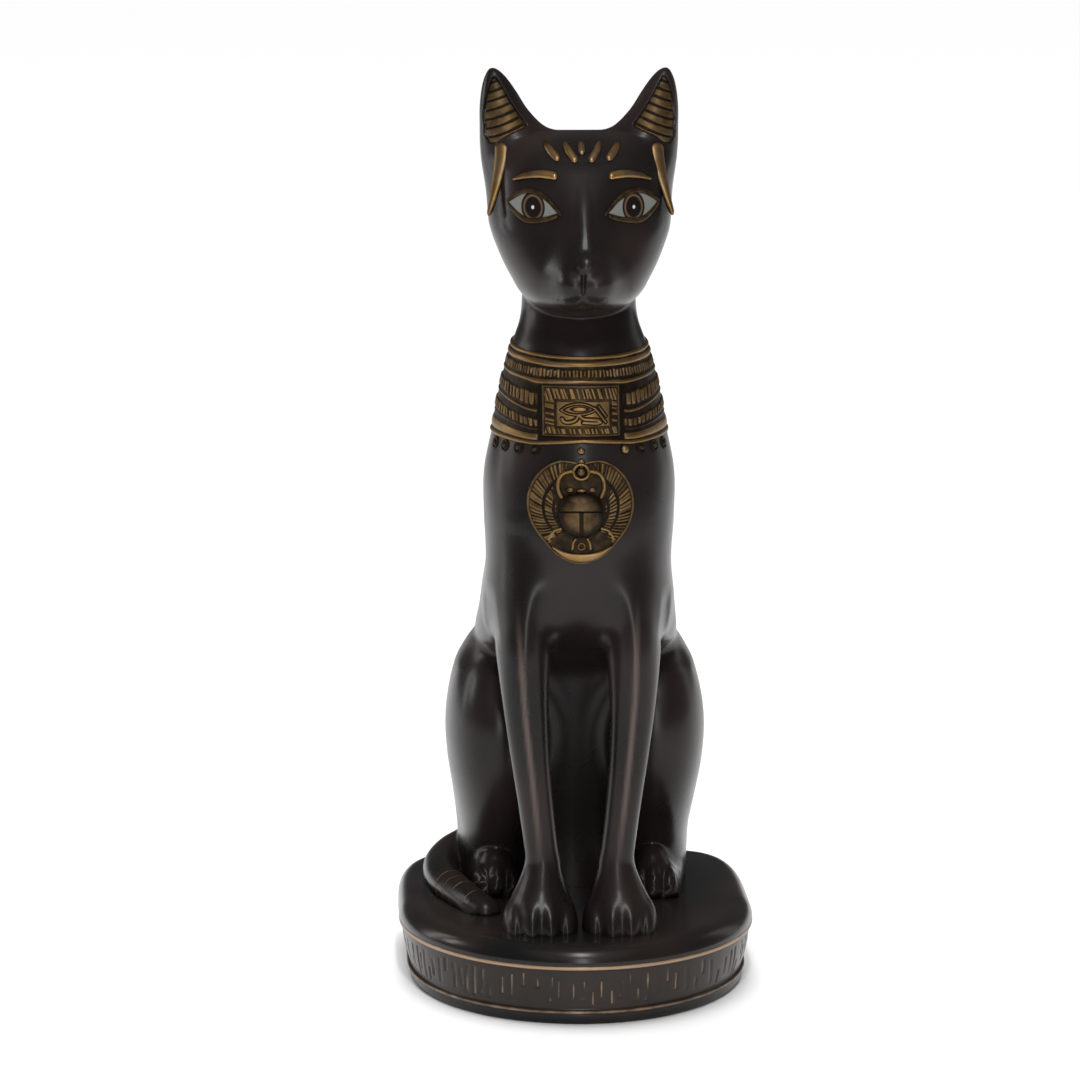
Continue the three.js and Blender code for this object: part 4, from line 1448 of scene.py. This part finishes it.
        def lay(across: Array, up: Array) -> Laid:
            """Lays a shallow dome between the lids."""
            x = start - 0.2 + across * (end - start + 0.1)
            low = np.interp(x, side * lower[:, 0], lower[:, 1])
            high = np.interp(x, side * upper[:, 0], upper[:, 1])
            z = low + (high - low) * up
            points, out = self.shop.figure.front(side * x, z)
            dome = np.sqrt(np.clip(4 * across * (1 - across), 0, 1)) * 4 * up * (1 - up)
            rim = 1 - ramp(np.minimum(z - low, high - z), 0.75, 1.1)
            return Laid(points + out * (0.05 + 0.5 * dome)[:, None], rim)

        piece = self.shop.weave(f"eye_{word}", 96, 48, lay, Closing.BACKED, back=1.6)
        self.shop.publish(piece, Finish.EYE, EyePaint(side).material())

    def ear_panel(self, word: str, side: int) -> None:
        """Makes and dresses the ribbed golden panel in one ear's hollow."""
        ear = self.shop.figure.ears[0]
        low, high = EAR_OPENING[0][0] + 0.2, EAR_OPENING[-1][0]

        def lay(across: Array, up: Array) -> Laid:
            """Lays the panel across the opening, with its slanting grooves."""
            z = low + (high - low) * up
            half_width, middle = Track(EAR_OPENING).at(z).T
            x = middle + (2 * across - 1) * half_width * 0.99
            aside = x - self.ear_middle
            level = z + self.ear_slant * aside - 0.012 * aside**2
            phase = (level - low + 0.4) / self.ear_pitch
            gap = np.abs(phase - np.round(phase)) * self.ear_pitch
            groove = 1 - ramp(gap, 0.12, 0.55)
            belly = 0.25 * (1 - (2 * across - 1) ** 2)
            depth = ear.front(x, z) + 0.95 - belly + 0.4 * groove
            points = np.stack([side * x, depth, z], axis=1)
            rim = ramp(np.abs(2 * across - 1), 0.86, 1.0)
            return Laid(points, (0.52 - 0.12 * up) * (1 - groove) * (1 - 0.8 * rim))

        piece = self.shop.weave(f"ear_panel_{word}", 44, 150, lay, Closing.BACKED, back=1.3)
        self.shop.publish(piece, Finish.ANTIQUE, self.shop.antique)


@dataclass
class Collar:
    """Broad collar of raised lines and rows of strokes, its plaque and its hanging beads."""

    shop: Workshop
    foot: float = 157.5
    height: float = 29.1
    tilt: float = 0.133
    thickness: float = 0.3
    # How far its lines sag: by the share of its height, and by the angle from the front
    sag: Rows = (
        (0, 0.045), (0.1, 0.06), (0.22, 0.095), (0.4, 0.12), (0.55, 0.11), (0.72, 0.035), (0.9, 0),
        (1, 0),
    )
    sag_round: Rows = (
        (0, 0.3), (0.35, 0.7), (0.6, 1), (1, 0.55), (1.35, 0.15), (1.7, 0), (3.2, 0),
    )
    # Raised lines: share of the height, half-width as a share, rise, gilding
    lines: Rows = (
        (0.03, 0.022, 0.4, 0.9), (0.132, 0.055, 0.35, 0.88), (0.252, 0.008, 0.2, 0.35),
        (0.49, 0.013, 0.35, 0.62), (0.735, 0.016, 0.4, 0.75), (0.916, 0.03, 0.55, 0.92),
        (0.985, 0.022, 0.5, 0.9),
    )
    # Rows of strokes: foot and head as shares, count round the neck, rise, lean
    rows: Rows = (
        (0.285, 0.405, 92, 0.5, 0.35), (0.53, 0.655, 80, 0.5, 0.3), (0.768, 0.862, 124, 0.4, 0.1),
    )
    plaque_half: tuple[float, float] = (12.45, 7.9)
    plaque_middle: tuple[float, float] = (-0.75, 167.2)
    # Beads: height, steps between them, first on either side and last, in degrees
    bead_height: float = 154.9
    bead_pitch: float = 13.0
    bead_firsts: tuple[tuple[int, float], ...] = ((1, 26.5), (-1, 32.0))
    bead_last: float = 72.0
    shoulder_radius: float = 30.0
    hung: tuple[tuple[tuple[float, float], float], ...] = (
        ((-0.95, 154.7), 1.25), ((-0.95, 151.4), 1.15), ((-0.95, 149.9), 0.6),
    )
    columns: int = 760
    outer_rows: int = 112
    inner_rows: int = 6

    def seat(self, turn: Array, share: Array) -> Array:
        """Height of a place round the collar at a share of its height."""
        away = np.abs(np.arctan2(np.sin(turn), np.cos(turn)))
        sag = Track(self.sag).at(share)[:, 0] * Track(self.sag_round).at(away)[:, 0]
        seat = self.foot + self.height * (share - sag)
        core, half_depth, _, _ = self.shop.figure.trunk.sections(seat)
        return seat + share * self.tilt * (core - half_depth * np.cos(turn) + 7)

    def relief(self, turn: Array, share: Array) -> tuple[Array, Array]:
        """Relief of the collar.

        Args:
            turn: Angle round the neck from its front.
            share: Share of the collar's height.

        Returns:
            The rise over the collar's ground, and the gilding.
        """
        round_share = turn / (2 * math.pi) + 0.5
        rise, gilt = np.zeros_like(turn), np.full_like(turn, 0.2)
        for number, (middle, half, high, gold) in enumerate(self.lines):
            uneven = 0.006 * wander(round_share, 14, SEED + number)
            line = ridge(share - middle - uneven, half * (1 + 4 * uneven))
            rise = np.maximum(rise, high * line)
            gilt = np.maximum(gilt, gold * ramp(line, 0.1, 0.6))
        for number, (low, high, count, proud, lean) in enumerate(self.rows):
            chance = np.random.default_rng(SEED + number)
            up = (share - low) / (high - low)
            total = int(count)
            slant = chance.uniform(-0.22, 0.22, total + 1)
            phase = round_share * count - lean * (up - 0.5) * np.sign(turn)
            which = np.floor(phase).astype(int) % total
            offset = phase - np.floor(phase) - 0.5 - chance.uniform(-0.1, 0.1, total)[which]
            offset = offset - slant[which] * (up - 0.5)
            width = chance.uniform(0.34, 0.46, total)[which] * (0.8 + 0.35 * up)
            reach = chance.uniform(0.78, 1.0, total)[which]
            bar = ridge(offset, width) * ramp(0.5 * reach - np.abs(up - 0.5), 0.0, 0.12)
            rise = np.maximum(rise, proud * bar)
            worn = chance.uniform(0.5, 0.8, total)[which]
            gilt = np.maximum(gilt, worn * ramp(bar, 0.2, 0.9))
        return rise, gilt

    def build(self) -> None:
        """Makes and dresses the collar, the plaque and the beads."""
        outer, back = np.linspace(0, 1, self.outer_rows), np.linspace(1, 0, self.inner_rows)
        shares = np.concatenate([[0.0], outer, [1.0], back])
        inner = np.concatenate([[1], np.zeros(self.outer_rows), [1], np.ones(self.inner_rows)])
        keys = np.arange(len(shares))

        def lay(around: Array, up: Array) -> Laid:
            """Lays the collar round the neck and back inside it."""
            at = np.round(up * (len(shares) - 1))
            share, hidden = np.interp(at, keys, shares), np.interp(at, keys, inner)
            turn = (around - 0.5) * 2 * math.pi
            points, out = self.shop.figure.around(turn, self.seat(turn, share))
            rise, gilt = self.relief(turn, share)
            beside = np.abs(points[:, 0] - self.plaque_middle[0]) - self.plaque_half[0]
            near = (points[:, 1] < 0) & (beside < 2.4) & (share > 0.07) & (share < 0.7)
            hush = np.where(near, ramp(beside, 1.0, 1.7), 1.0)
            proud = self.thickness + rise * hush
            return Laid(points + out * np.where(hidden > 0, -1.5, proud)[:, None], gilt * hush)

        piece = self.shop.weave("collar", self.columns, len(shares) - 1, lay)
        self.shop.publish(piece, Finish.ANTIQUE, self.shop.antique)
        self.plaque()
        self.beads()

    def motif(self, across: Array, up: Array) -> tuple[Array, Array]:
        """Traditional eye motif on the inner panel.

        Args:
            across: Place across the panel.
            up: Place up the panel.

        Returns:
            How far each place is raised, and how far it lies in the dark outlines.
        """
        almond = ((-6.9, 1.1), (-5.2, 2.3), (-2.8, 3), (-0.3, 3.1), (2, 2.6), (4.4, 1.3))
        under = ((-6.9, 1.1), (-5, 0.2), (-2.6, -0.2), (0, -0.1), (2.4, 0.4), (4.4, 1.3))
        curl = ((-1.4, -0.5), (-2.4, -1.9), (-4.4, -2.6), (-6, -2.4), (-6.6, -1.5))
        tongue = (
            (-0.9, -0.6), (0.5, -1.6), (2.8, -1.8), (5, -2), (5.9, -2.5), (4.4, -2.9), (0.2, -2.7),
        )
        lash = ((4, 1.8), (5.6, -0.2), (7.4, -2.6))
        lash_beside = ((5.2, 2.4), (6.4, 0.8), (7.6, -0.8))
        lines = (
            (almond, 0.2), (under, 0.2), (curl, 0.42), (tongue, 0.4), (lash, 0.3),
            (lash_beside, 0.25),
        )
        raised, outline = np.zeros_like(across), np.zeros_like(across)
        for rows, half in lines:
            gap, _ = line_distance(across, up, curve(rows, 24))
            raised = np.maximum(raised, ridge(gap, half))
            outline = np.maximum(outline, 1 - ramp(np.abs(gap - half - 0.22), 0.1, 0.26))
        iris = np.hypot((across + 0.9) / 2.7, (up - 1.45) / 0.75)
        outline = np.maximum(outline, 0.8 * (1 - ramp(np.abs(iris - 1), 0.12, 0.3)))
        return np.maximum(raised, 0.6 * ridge(iris, 1.0)), outline * (1 - ramp(raised, 0.3, 0.7))

    def plaque(self) -> None:
        """Makes and dresses the plaque with its hatched border and eye motif."""
        half_x, half_z = self.plaque_half

        def lay(across: Array, up: Array) -> Laid:
            """Lays the plaque on the collar's front."""
            x, z = (2 * across - 1) * half_x, (2 * up - 1) * half_z
            panel = np.maximum(np.abs(x - 0.55) - 8.6, np.abs(z + 0.8) - 3.85)
            motif, outline = self.motif(x - 0.35, z + 0.8)
            upright = np.maximum(z - 3.3, -z - 4.9) > 0
            along, pitch = np.where(upright, x + 0.3 * z, z + 0.15 * x), 1.28
            chance = np.random.default_rng(SEED)
            total = 40  # more than there are strokes on any side
            which = np.floor(along / pitch).astype(int) % total
            tilt = chance.uniform(-0.16, 0.16, total)[which] * np.where(upright, z, x) * 0.4
            offset = along / pitch - np.floor(along / pitch) - 0.5 - tilt
            offset = offset - chance.uniform(-0.12, 0.12, total)[which]
            edge = np.minimum(half_x - np.abs(x), half_z - np.abs(z))
            row = ramp(panel, 0.55, 0.85) * ramp(edge, 0.75, 1.05)
            hatch = ridge(offset, chance.uniform(0.36, 0.47, total)[which]) * row
            frame_line = 0.6 * ridge(edge - 0.3, 0.3)
            inside = ramp(-panel, 0.0, 0.3)
            rise = np.maximum(0.42 * hatch, 0.4 * frame_line)
            rise = np.maximum(rise, inside * (0.3 + 0.35 * motif - 0.22 * outline))
            gilt = np.maximum(0.78 * ramp(hatch, 0.2, 0.9), 0.5 * ramp(frame_line, 0.3, 0.6))
            gilt = np.maximum(gilt, 0.28)
            gilt = np.where(inside > 0.5, (0.72 + 0.2 * motif) * (1 - outline), gilt)
            place = self.plaque_middle[0] + x
            height = self.plaque_middle[1] + z
            front = self.shop.figure.trunk.front(place, height)
            lip = 1.0 * ramp(edge, 0.0, 0.25) + 0.35
            return Laid(np.stack([place, front - lip - rise, height], axis=1), gilt)

        piece = self.shop.weave("collar_plaque", 230, 144, lay, Closing.BACKED, back=2.2)
        self.shop.publish(piece, Finish.ANTIQUE, self.shop.antique)

    def bead_ground(self, start: float) -> Ground:
        """Ground about a bead that hangs at this angle from the front."""

        def ground(across: Array, up: Array) -> tuple[Array, Array]:
            """Ground round the shoulders."""
            return self.shop.figure.around(start + across / self.shoulder_radius, up)

        return ground

    def beads(self) -> None:
        """Makes and dresses the beads under the collar, each in its ring."""
        place = (0.0, self.bead_height)
        bare = Boss(place, radius=1.45, bead=1.45, gilt=0.95)  # the first one's ring is worn away
        ringed = Boss(place, radius=2.0, bead=0.9, ring_rise=0.35, gilt=0.35)
        number = 0
        for side, first in self.bead_firsts:
            for step in range(int((self.bead_last - first) / self.bead_pitch) + 1):
                number += 1
                ground = self.bead_ground(math.radians(side * (first + self.bead_pitch * step)))
                self.boss(f"collar_bead_{number}", bare if number == 1 else ringed, ground)
        for number, (place, radius) in enumerate(self.hung, start=1):
            boss = Boss(place, radius, radius)
            self.boss(f"pendant_bead_{number}", boss, self.shop.figure.front)

    def boss(self, name: str, boss: Boss, ground: Ground) -> None:
        """Makes and dresses one bead."""
        piece = self.shop.weave(name, 28, 16, boss.weaver(ground))
        self.shop.publish(piece, Finish.ANTIQUE, self.shop.antique)


@dataclass(frozen=True)
class Boss:
    """Round bead, with a ring about it where it has one."""

    middle: tuple[float, float]
    radius: float
    bead: float
    ring_rise: float = 0.0
    gilt: float = 0.75
    sink: float = 0.6
    ring_half: float = 0.3
    top: float = 0.85  # share of the grid's rows on the upper side

    def weaver(self, ground: Ground) -> Weaver:
        """What lays the bead's grid on some ground."""

        def lay(around: Array, along: Array) -> Laid:
            """Lays rings of points outwards, then back under the bead."""
            rising = np.sin(np.minimum(along / self.top, 1) * math.pi / 2)
            share = np.where(along < self.top, rising, 1.0)
            share = np.where(along > 0.95, np.maximum((1 - along) / 0.05, 0), share)
            turn, reach = 2 * math.pi * around, share * self.radius
            x, z = self.middle[0] + reach * np.cos(turn), self.middle[1] + reach * np.sin(turn)
            points, out = ground(x, z)
            dome = ridge(reach, self.bead)
            height = self.bead * dome
            if self.ring_rise:
                hoop = ridge(reach - (self.radius - self.ring_half), self.ring_half)
                height = np.maximum(height, self.ring_rise * hoop) + 0.1
            height = np.where(along > self.top + 0.03, -self.sink, height)
            return Laid(points + out * height[:, None], self.gilt * ramp(dome, 0.3, 0.8))

        return lay


@dataclass
class Pendant:
    """Heart-shaped pendant: a beetle between two feathered wings, its disc and a crescent."""

    shop: Workshop
    middle: tuple[float, float] = (-1.15, 135.4)
    # Outline: angle from the cat's left side in degrees, radius
    heart: Rows = (
        (-90, 16.6), (-66, 15.8), (-38, 14.9), (-10, 16.1), (19, 17.5), (46, 18.1), (66, 17.8),
        (80, 16.4), (90, 15.3),
    )
    # Rows of feathers: inner and outer share of the radius, count on each side, rise
    feathers: Rows = ((0.71, 0.955, 40, 0.45), (0.52, 0.685, 29, 0.45), (0.37, 0.5, 19, 0.4))
    ground: float = 0.45  # rise of the plain ground
    sweep: float = 5.0  # how far the feathers' tips trail, in feathers over the whole radius
    axis: float = -1.05
    beetle: tuple[float, float, float, float] = (-1.15, 134.7, 6.9, 7.05)
    disc: tuple[float, float, float, float] = (148.1, 2.3, 0.6, 1.5)
    # Legs beside the axis: path, half-width, rise
    legs: tuple[tuple[Rows, float, float], ...] = (
        (
            ((3.1, 148.3), (5.3, 147.7), (6.7, 146.1), (7.15, 143.6), (6.7, 141.7), (6.1, 140.4)),
            0.72, 1.7,
        ),
        (((6.4, 130.4), (8.3, 129.8), (9.6, 128.2), (10.1, 126.9)), 0.5, 1.2),
        (((1.9, 127.2), (2.6, 126), (2.9, 124)), 0.5, 1.2),
    )
    crescent: Rows = ((-9.9, 124.6), (-5.8, 122), (-0.95, 121), (3.9, 122), (8, 124.6))
    columns: int = 560
    rows: int = 150

    def relief(self, x: Array, z: Array, turn: Array, share: Array) -> tuple[Array, Array]:
        """Relief of the pendant.

        Args:
            x: Place across the figure.
            z: Height of the place.
            turn: Angle of the place about the pendant's middle, in degrees.
            share: Share of the outline's radius.

        Returns:
            The rise over the chest, and the gilding.
        """
        beside = np.abs(x - self.axis)
        rise, gilt = np.full_like(x, self.ground), np.full_like(x, 0.22)
        clear = 1 - ramp(11.2 - np.hypot(beside, (z - 122) * 1.25), 0, 0.8) * (z < 131)
        clear *= 1 - ramp(5.2 - np.hypot(beside, z - 148), 0, 0.8)
        clear *= 1 - ramp(9.2 - np.hypot(beside, (z - 141.5) * 1.1), 0, 0.8) * (z > 136)
        for number, (low, high, count, proud) in enumerate(self.feathers):
            chance = np.random.default_rng(SEED + number)
            trail = self.sweep * (share - low) * np.sign(x - self.axis)
            phase, total = ((turn + 90) % 360) / 180 * count - trail, 2 * int(count)
            which = np.floor(phase).astype(int) % total
            jitter = chance.uniform(-0.16, 0.16, total)[which] * (0.4 + share)
            offset = phase - np.floor(phase) - 0.5 - jitter
            bar = ridge(offset, chance.uniform(0.34, 0.5, total)[which])
            bar *= ramp(share, low, low + 0.025) * ramp(-share, -high, -high + 0.025) * clear
            rise = np.maximum(rise, self.ground + proud * bar)
            worn = chance.uniform(0.42, 0.75, total)[which]
            gilt = np.maximum(gilt, worn * ramp(bar, 0.2, 0.95))
        for middle in (0.705, 0.515):
            seam = ridge(share - middle, 0.016) * clear
            rise -= 0.15 * seam
            gilt *= 1 - 0.9 * seam
        rim = ridge(share - 0.975, 0.026)
        rise, gilt = np.maximum(rise, self.ground + 0.5 * rim), np.maximum(gilt, 0.55 * rim)
        rise, gilt = self.creature(x, z, beside, rise, gilt)
        return rise * ramp(-share, -1.002, -0.985), gilt

    def creature(
        self, x: Array, z: Array, beside: Array, rise: Array, gilt: Array,
    ) -> tuple[Array, Array]:
        """Adds the beetle, its legs, the disc it holds and the crescent to the relief.

        Args:
            x: Place across the figure.
            z: Height of the place.
            beside: Distance from the beetle's axis.
            rise: The rise so far.
            gilt: The gilding so far.

        Returns:
            The rise and the gilding with them.
        """
        cx, cz, wide, tall = self.beetle
        above = z > cz
        power = np.where(above, 2.7, 2.1)
        reach = (np.abs((x - cx) / wide) ** power + np.abs((z - cz) / tall) ** power) ** (1 / power)
        back = ridge(reach, 1.0)
        seam_z = cz + 1.05
        seam = ridge(z - seam_z, 0.3) * (np.abs(x - cx) < wide)
        split = ramp(0.62 - np.abs(x - cx), 0, 0.15) * (z < seam_z)
        shell = 0.6 + 3.0 * back**0.9 - 0.45 * seam - 0.5 * split
        rise = np.where(reach < 1, np.maximum(rise, shell), rise)
        # The beetle's back is gilded brighter on its crown and darker towards its edges: partly
        # worn gilding, partly a painted highlight and painted shade of the dome.
        dome_shine_and_wear = ramp(back, 0.2, 0.95) * (1 - 0.9 * ramp(seam, 0.3, 0.9)) * (1 - 0.95 * split)
        gilt = np.where(reach < 1, np.maximum(0.43 * dome_shine_and_wear, 0.05), gilt)
        halo = ridge(reach - 1.07, 0.07) * (reach > 1)
        gilt = gilt * (1 - 0.9 * halo)
        shapes = []
        for rows, half, high in self.legs:
            gap, _ = line_distance(beside, z, curve(rows, 20))
            shapes.append((gap, half, high, 0.85))
        disc_z, hoop, half, inner = self.disc
        shapes.append((np.abs(np.hypot(beside, z - disc_z) - hoop), half, 2.1, 0.9))
        shapes.append((np.hypot(beside, z - disc_z), inner, 1.6, 0.5))
        shapes.append((np.hypot(beside / 1.7, (z - 142.4) / 0.75), 1.0, 1.9, 0.8))
        shapes.append((np.hypot((beside - 3.5) / 1.3, (z - 142.6) / 0.9), 1.0, 1.1, 0.5))
        shapes.append((np.abs(np.hypot(beside, z - 124.8) - 1.05), 0.35, 1.0, 0.6))
        gap, along = line_distance(x, z, curve(self.crescent, 30))
        shapes.append((gap, 0.3 + 1.3 * np.sin(math.pi * along), 2.0, 1.0))
        for gap, half, high, gold in shapes:
            form = ridge(gap, half)
            standing = self.ground + (high - self.ground) * form
            rise = np.maximum(rise, np.where(form > 0, standing, 0))
            gilt = np.maximum(gilt, gold * ramp(form, 0.25, 0.8))
        return rise, gilt

    def build(self) -> None:
        """Makes and dresses the pendant."""
        radius = Track(self.heart)

        def lay(around: Array, along: Array) -> Laid:
            """Lays rings of points out to the rim, then down and back behind it."""
            row = np.round(along * self.rows)
            last = self.rows - 3
            share = np.clip(row / last, 0, 1)
            share = np.where(row == self.rows, 0.0, share)
            turn = 2 * math.pi * around - math.pi
            tilt = np.degrees(np.arctan2(np.sin(turn), np.abs(np.cos(turn))))
            reach = share * radius.at(tilt)[:, 0]
            x = self.middle[0] + reach * np.cos(turn)
            z = self.middle[1] + reach * np.sin(turn)
            points, out = self.shop.figure.front(x, z)
            rise, gilt = self.relief(x, z, np.degrees(turn), share)
            height = np.where(row > last, -0.8, rise)
            return Laid(points + out * height[:, None], gilt)

        piece = self.shop.weave("scarab_pendant", self.columns, self.rows, lay)
        self.shop.publish(piece, Finish.ANTIQUE, self.shop.antique)


@dataclass
class TailRings:
    """Fine gilded rings round the end of the tail."""

    shop: Workshop
    shares: tuple[float, ...] = (0.74, 0.81, 0.87, 0.94)
    radius: float = 0.2
    sink: float = 0.08
    gilt: float = 0.6
    columns: int = 72
    rows: int = 8

    def build(self) -> None:
        """Makes and dresses the rings."""
        for number, share in enumerate(self.shares, start=1):
            name, lay = f"tail_ring_{number}", self.ring(share)
            piece = self.shop.weave(name, self.columns, self.rows, lay)
            self.shop.publish(piece, Finish.ANTIQUE, self.shop.antique)

    def ring(self, share: float) -> Weaver:
        """What lays one ring's grid, at a share of the tail's length."""
        places, radii = self.shop.figure.tail.spine()
        ways = unit(np.gradient(places, axis=0))
        at = int(share * (len(places) - 1))
        side = unit(np.cross(np.array([[0, 0, 1]]), ways[at: at + 1]))[0]
        lift = np.cross(ways[at], side)

        def lay(around: Array, across: Array) -> Laid:
            """Bends a fine round section round the tail."""
            turn, roll = 2 * math.pi * around, 2 * math.pi * across
            way = np.cos(turn)[:, None] * side + np.sin(turn)[:, None] * lift
            reach = radii[at] - self.sink + self.radius * np.cos(roll)
            points = places[at] + way * reach[:, None]
            points = points + (self.radius * np.sin(roll))[:, None] * ways[at]
            return Laid(points, np.full_like(turn, self.gilt))

        return lay


@dataclass(frozen=True)
class Light:
    """Soft rectangular light: its place, what it looks at, its size in metres and its watts."""

    name: str
    place: tuple[float, float, float]
    target: tuple[float, float, float]
    size: tuple[float, float]
    power: float


@dataclass
class Studio:
    """Pale floor, soft lights and the camera."""

    floor_size: float = 24.0
    camera_place: tuple[float, float, float] = (-0.07638, -1.47824, 0.39151)
    camera_target: tuple[float, float, float] = (-0.01183, 0.0, 0.14523)
    lens: float = 152.24
    lights: tuple[Light, ...] = (
        Light("left_window", (-1.13, 0.62, 0.5), (0, 0, 0.15), (0.15, 0.8), 1.7),
        Light("right_window", (1.08, 0.72, 0.45), (0, 0, 0.15), (0.34, 0.8), 0.6),
        Light("cheek_strip", (-1.25, 0.3, 0.55), (0, 0, 0.22), (0.1, 0.4), 1.6),
        Light("front_strip", (0.0, -1.56, 0.5), (0, 0, 0.2), (0.08, 0.95), 5.0),
        Light("high_strip", (0.0, -1.0, 1.4), (0, 0, 0.2), (0.05, 0.6), 9.0),
        Light("front_sky", (0, -1.7, 2.2), (0, 0, 0.1), (3.2, 3.0), 11.0),
    )
    sun_strength: float = 4.15
    sun_spread: float = 0.9
    sun_tilt: float = -0.36
    world_strength: float = 0.06

    def build(self) -> None:
        """Makes the floor, the world, the lights and the camera."""
        self.floor()
        self.world()
        self.sun()
        for light in self.lights:
            self.lamp(light)
        camera = bpy.data.cameras.new("camera")
        camera.lens = self.lens
        camera.sensor_width = 36
        camera.clip_end = 100
        holder = bpy.data.objects.new("camera", camera)
        self.aim(holder, self.camera_place, self.camera_target)
        bpy.context.scene.camera = holder

    def aim(self, holder: bpy.types.Object, place: tuple, target: tuple) -> None:
        """Puts an object in place, turned to look at a target."""
        way = Vector(target) - Vector(place)
        holder.location = place
        holder.rotation_euler = way.to_track_quat("-Z", "Y").to_euler()
        bpy.context.scene.collection.objects.link(holder)

    def lamp(self, light: Light) -> None:
        """Adds one soft light."""
        lamp = bpy.data.lights.new(light.name, "AREA")
        lamp.shape = "RECTANGLE"
        lamp.size, lamp.size_y = light.size
        lamp.energy = light.power
        self.aim(bpy.data.objects.new(light.name, lamp), light.place, light.target)

    def sun(self) -> None:
        """Adds the wide soft light from above that whitens the floor."""
        lamp = bpy.data.lights.new("sky_light", "SUN")
        lamp.energy = self.sun_strength
        lamp.angle = self.sun_spread
        holder = bpy.data.objects.new("sky_light", lamp)
        holder.rotation_euler = (self.sun_tilt, 0, 0)
        holder.visible_glossy = False
        bpy.context.scene.collection.objects.link(holder)

    def floor(self) -> None:
        """Adds the plain pale floor."""
        sheet = bmesh.new()
        bmesh.ops.create_grid(sheet, x_segments=4, y_segments=4, size=self.floor_size / 2)
        mesh = bpy.data.meshes.new("floor")
        sheet.to_mesh(mesh)
        sheet.free()
        floor = bpy.data.objects.new("floor", mesh)
        bpy.context.scene.collection.objects.link(floor)
        looks = {"Base Color": (0.82, 0.82, 0.82, 1), "Roughness": 0.9}
        mesh.materials.append(Shader("pale_floor").finish(looks))

    def world(self) -> None:
        """Sets the pale surroundings."""
        world = bpy.data.worlds.new("studio")
        bpy.context.scene.world = world
        world.use_nodes = True
        background = world.node_tree.nodes["Background"]
        background.inputs["Color"].default_value = (1, 1, 1, 1)
        background.inputs["Strength"].default_value = self.world_strength
        bpy.context.scene.view_settings.view_transform = "Standard"


def main() -> None:
    """Builds the figure, its plinth and the studio in order."""
    logging.basicConfig(level=logging.INFO, format="%(message)s")
    shop = Workshop(Figure())
    Studio().build()
    Skins(shop).build()
    Plinth(shop).build()
    Face(shop).build()
    Collar(shop).build()
    Pendant(shop).build()
    TailRings(shop).build()
    log.info("%d triangles in all", shop.triangles)


if __name__ == "__main__":
    main()
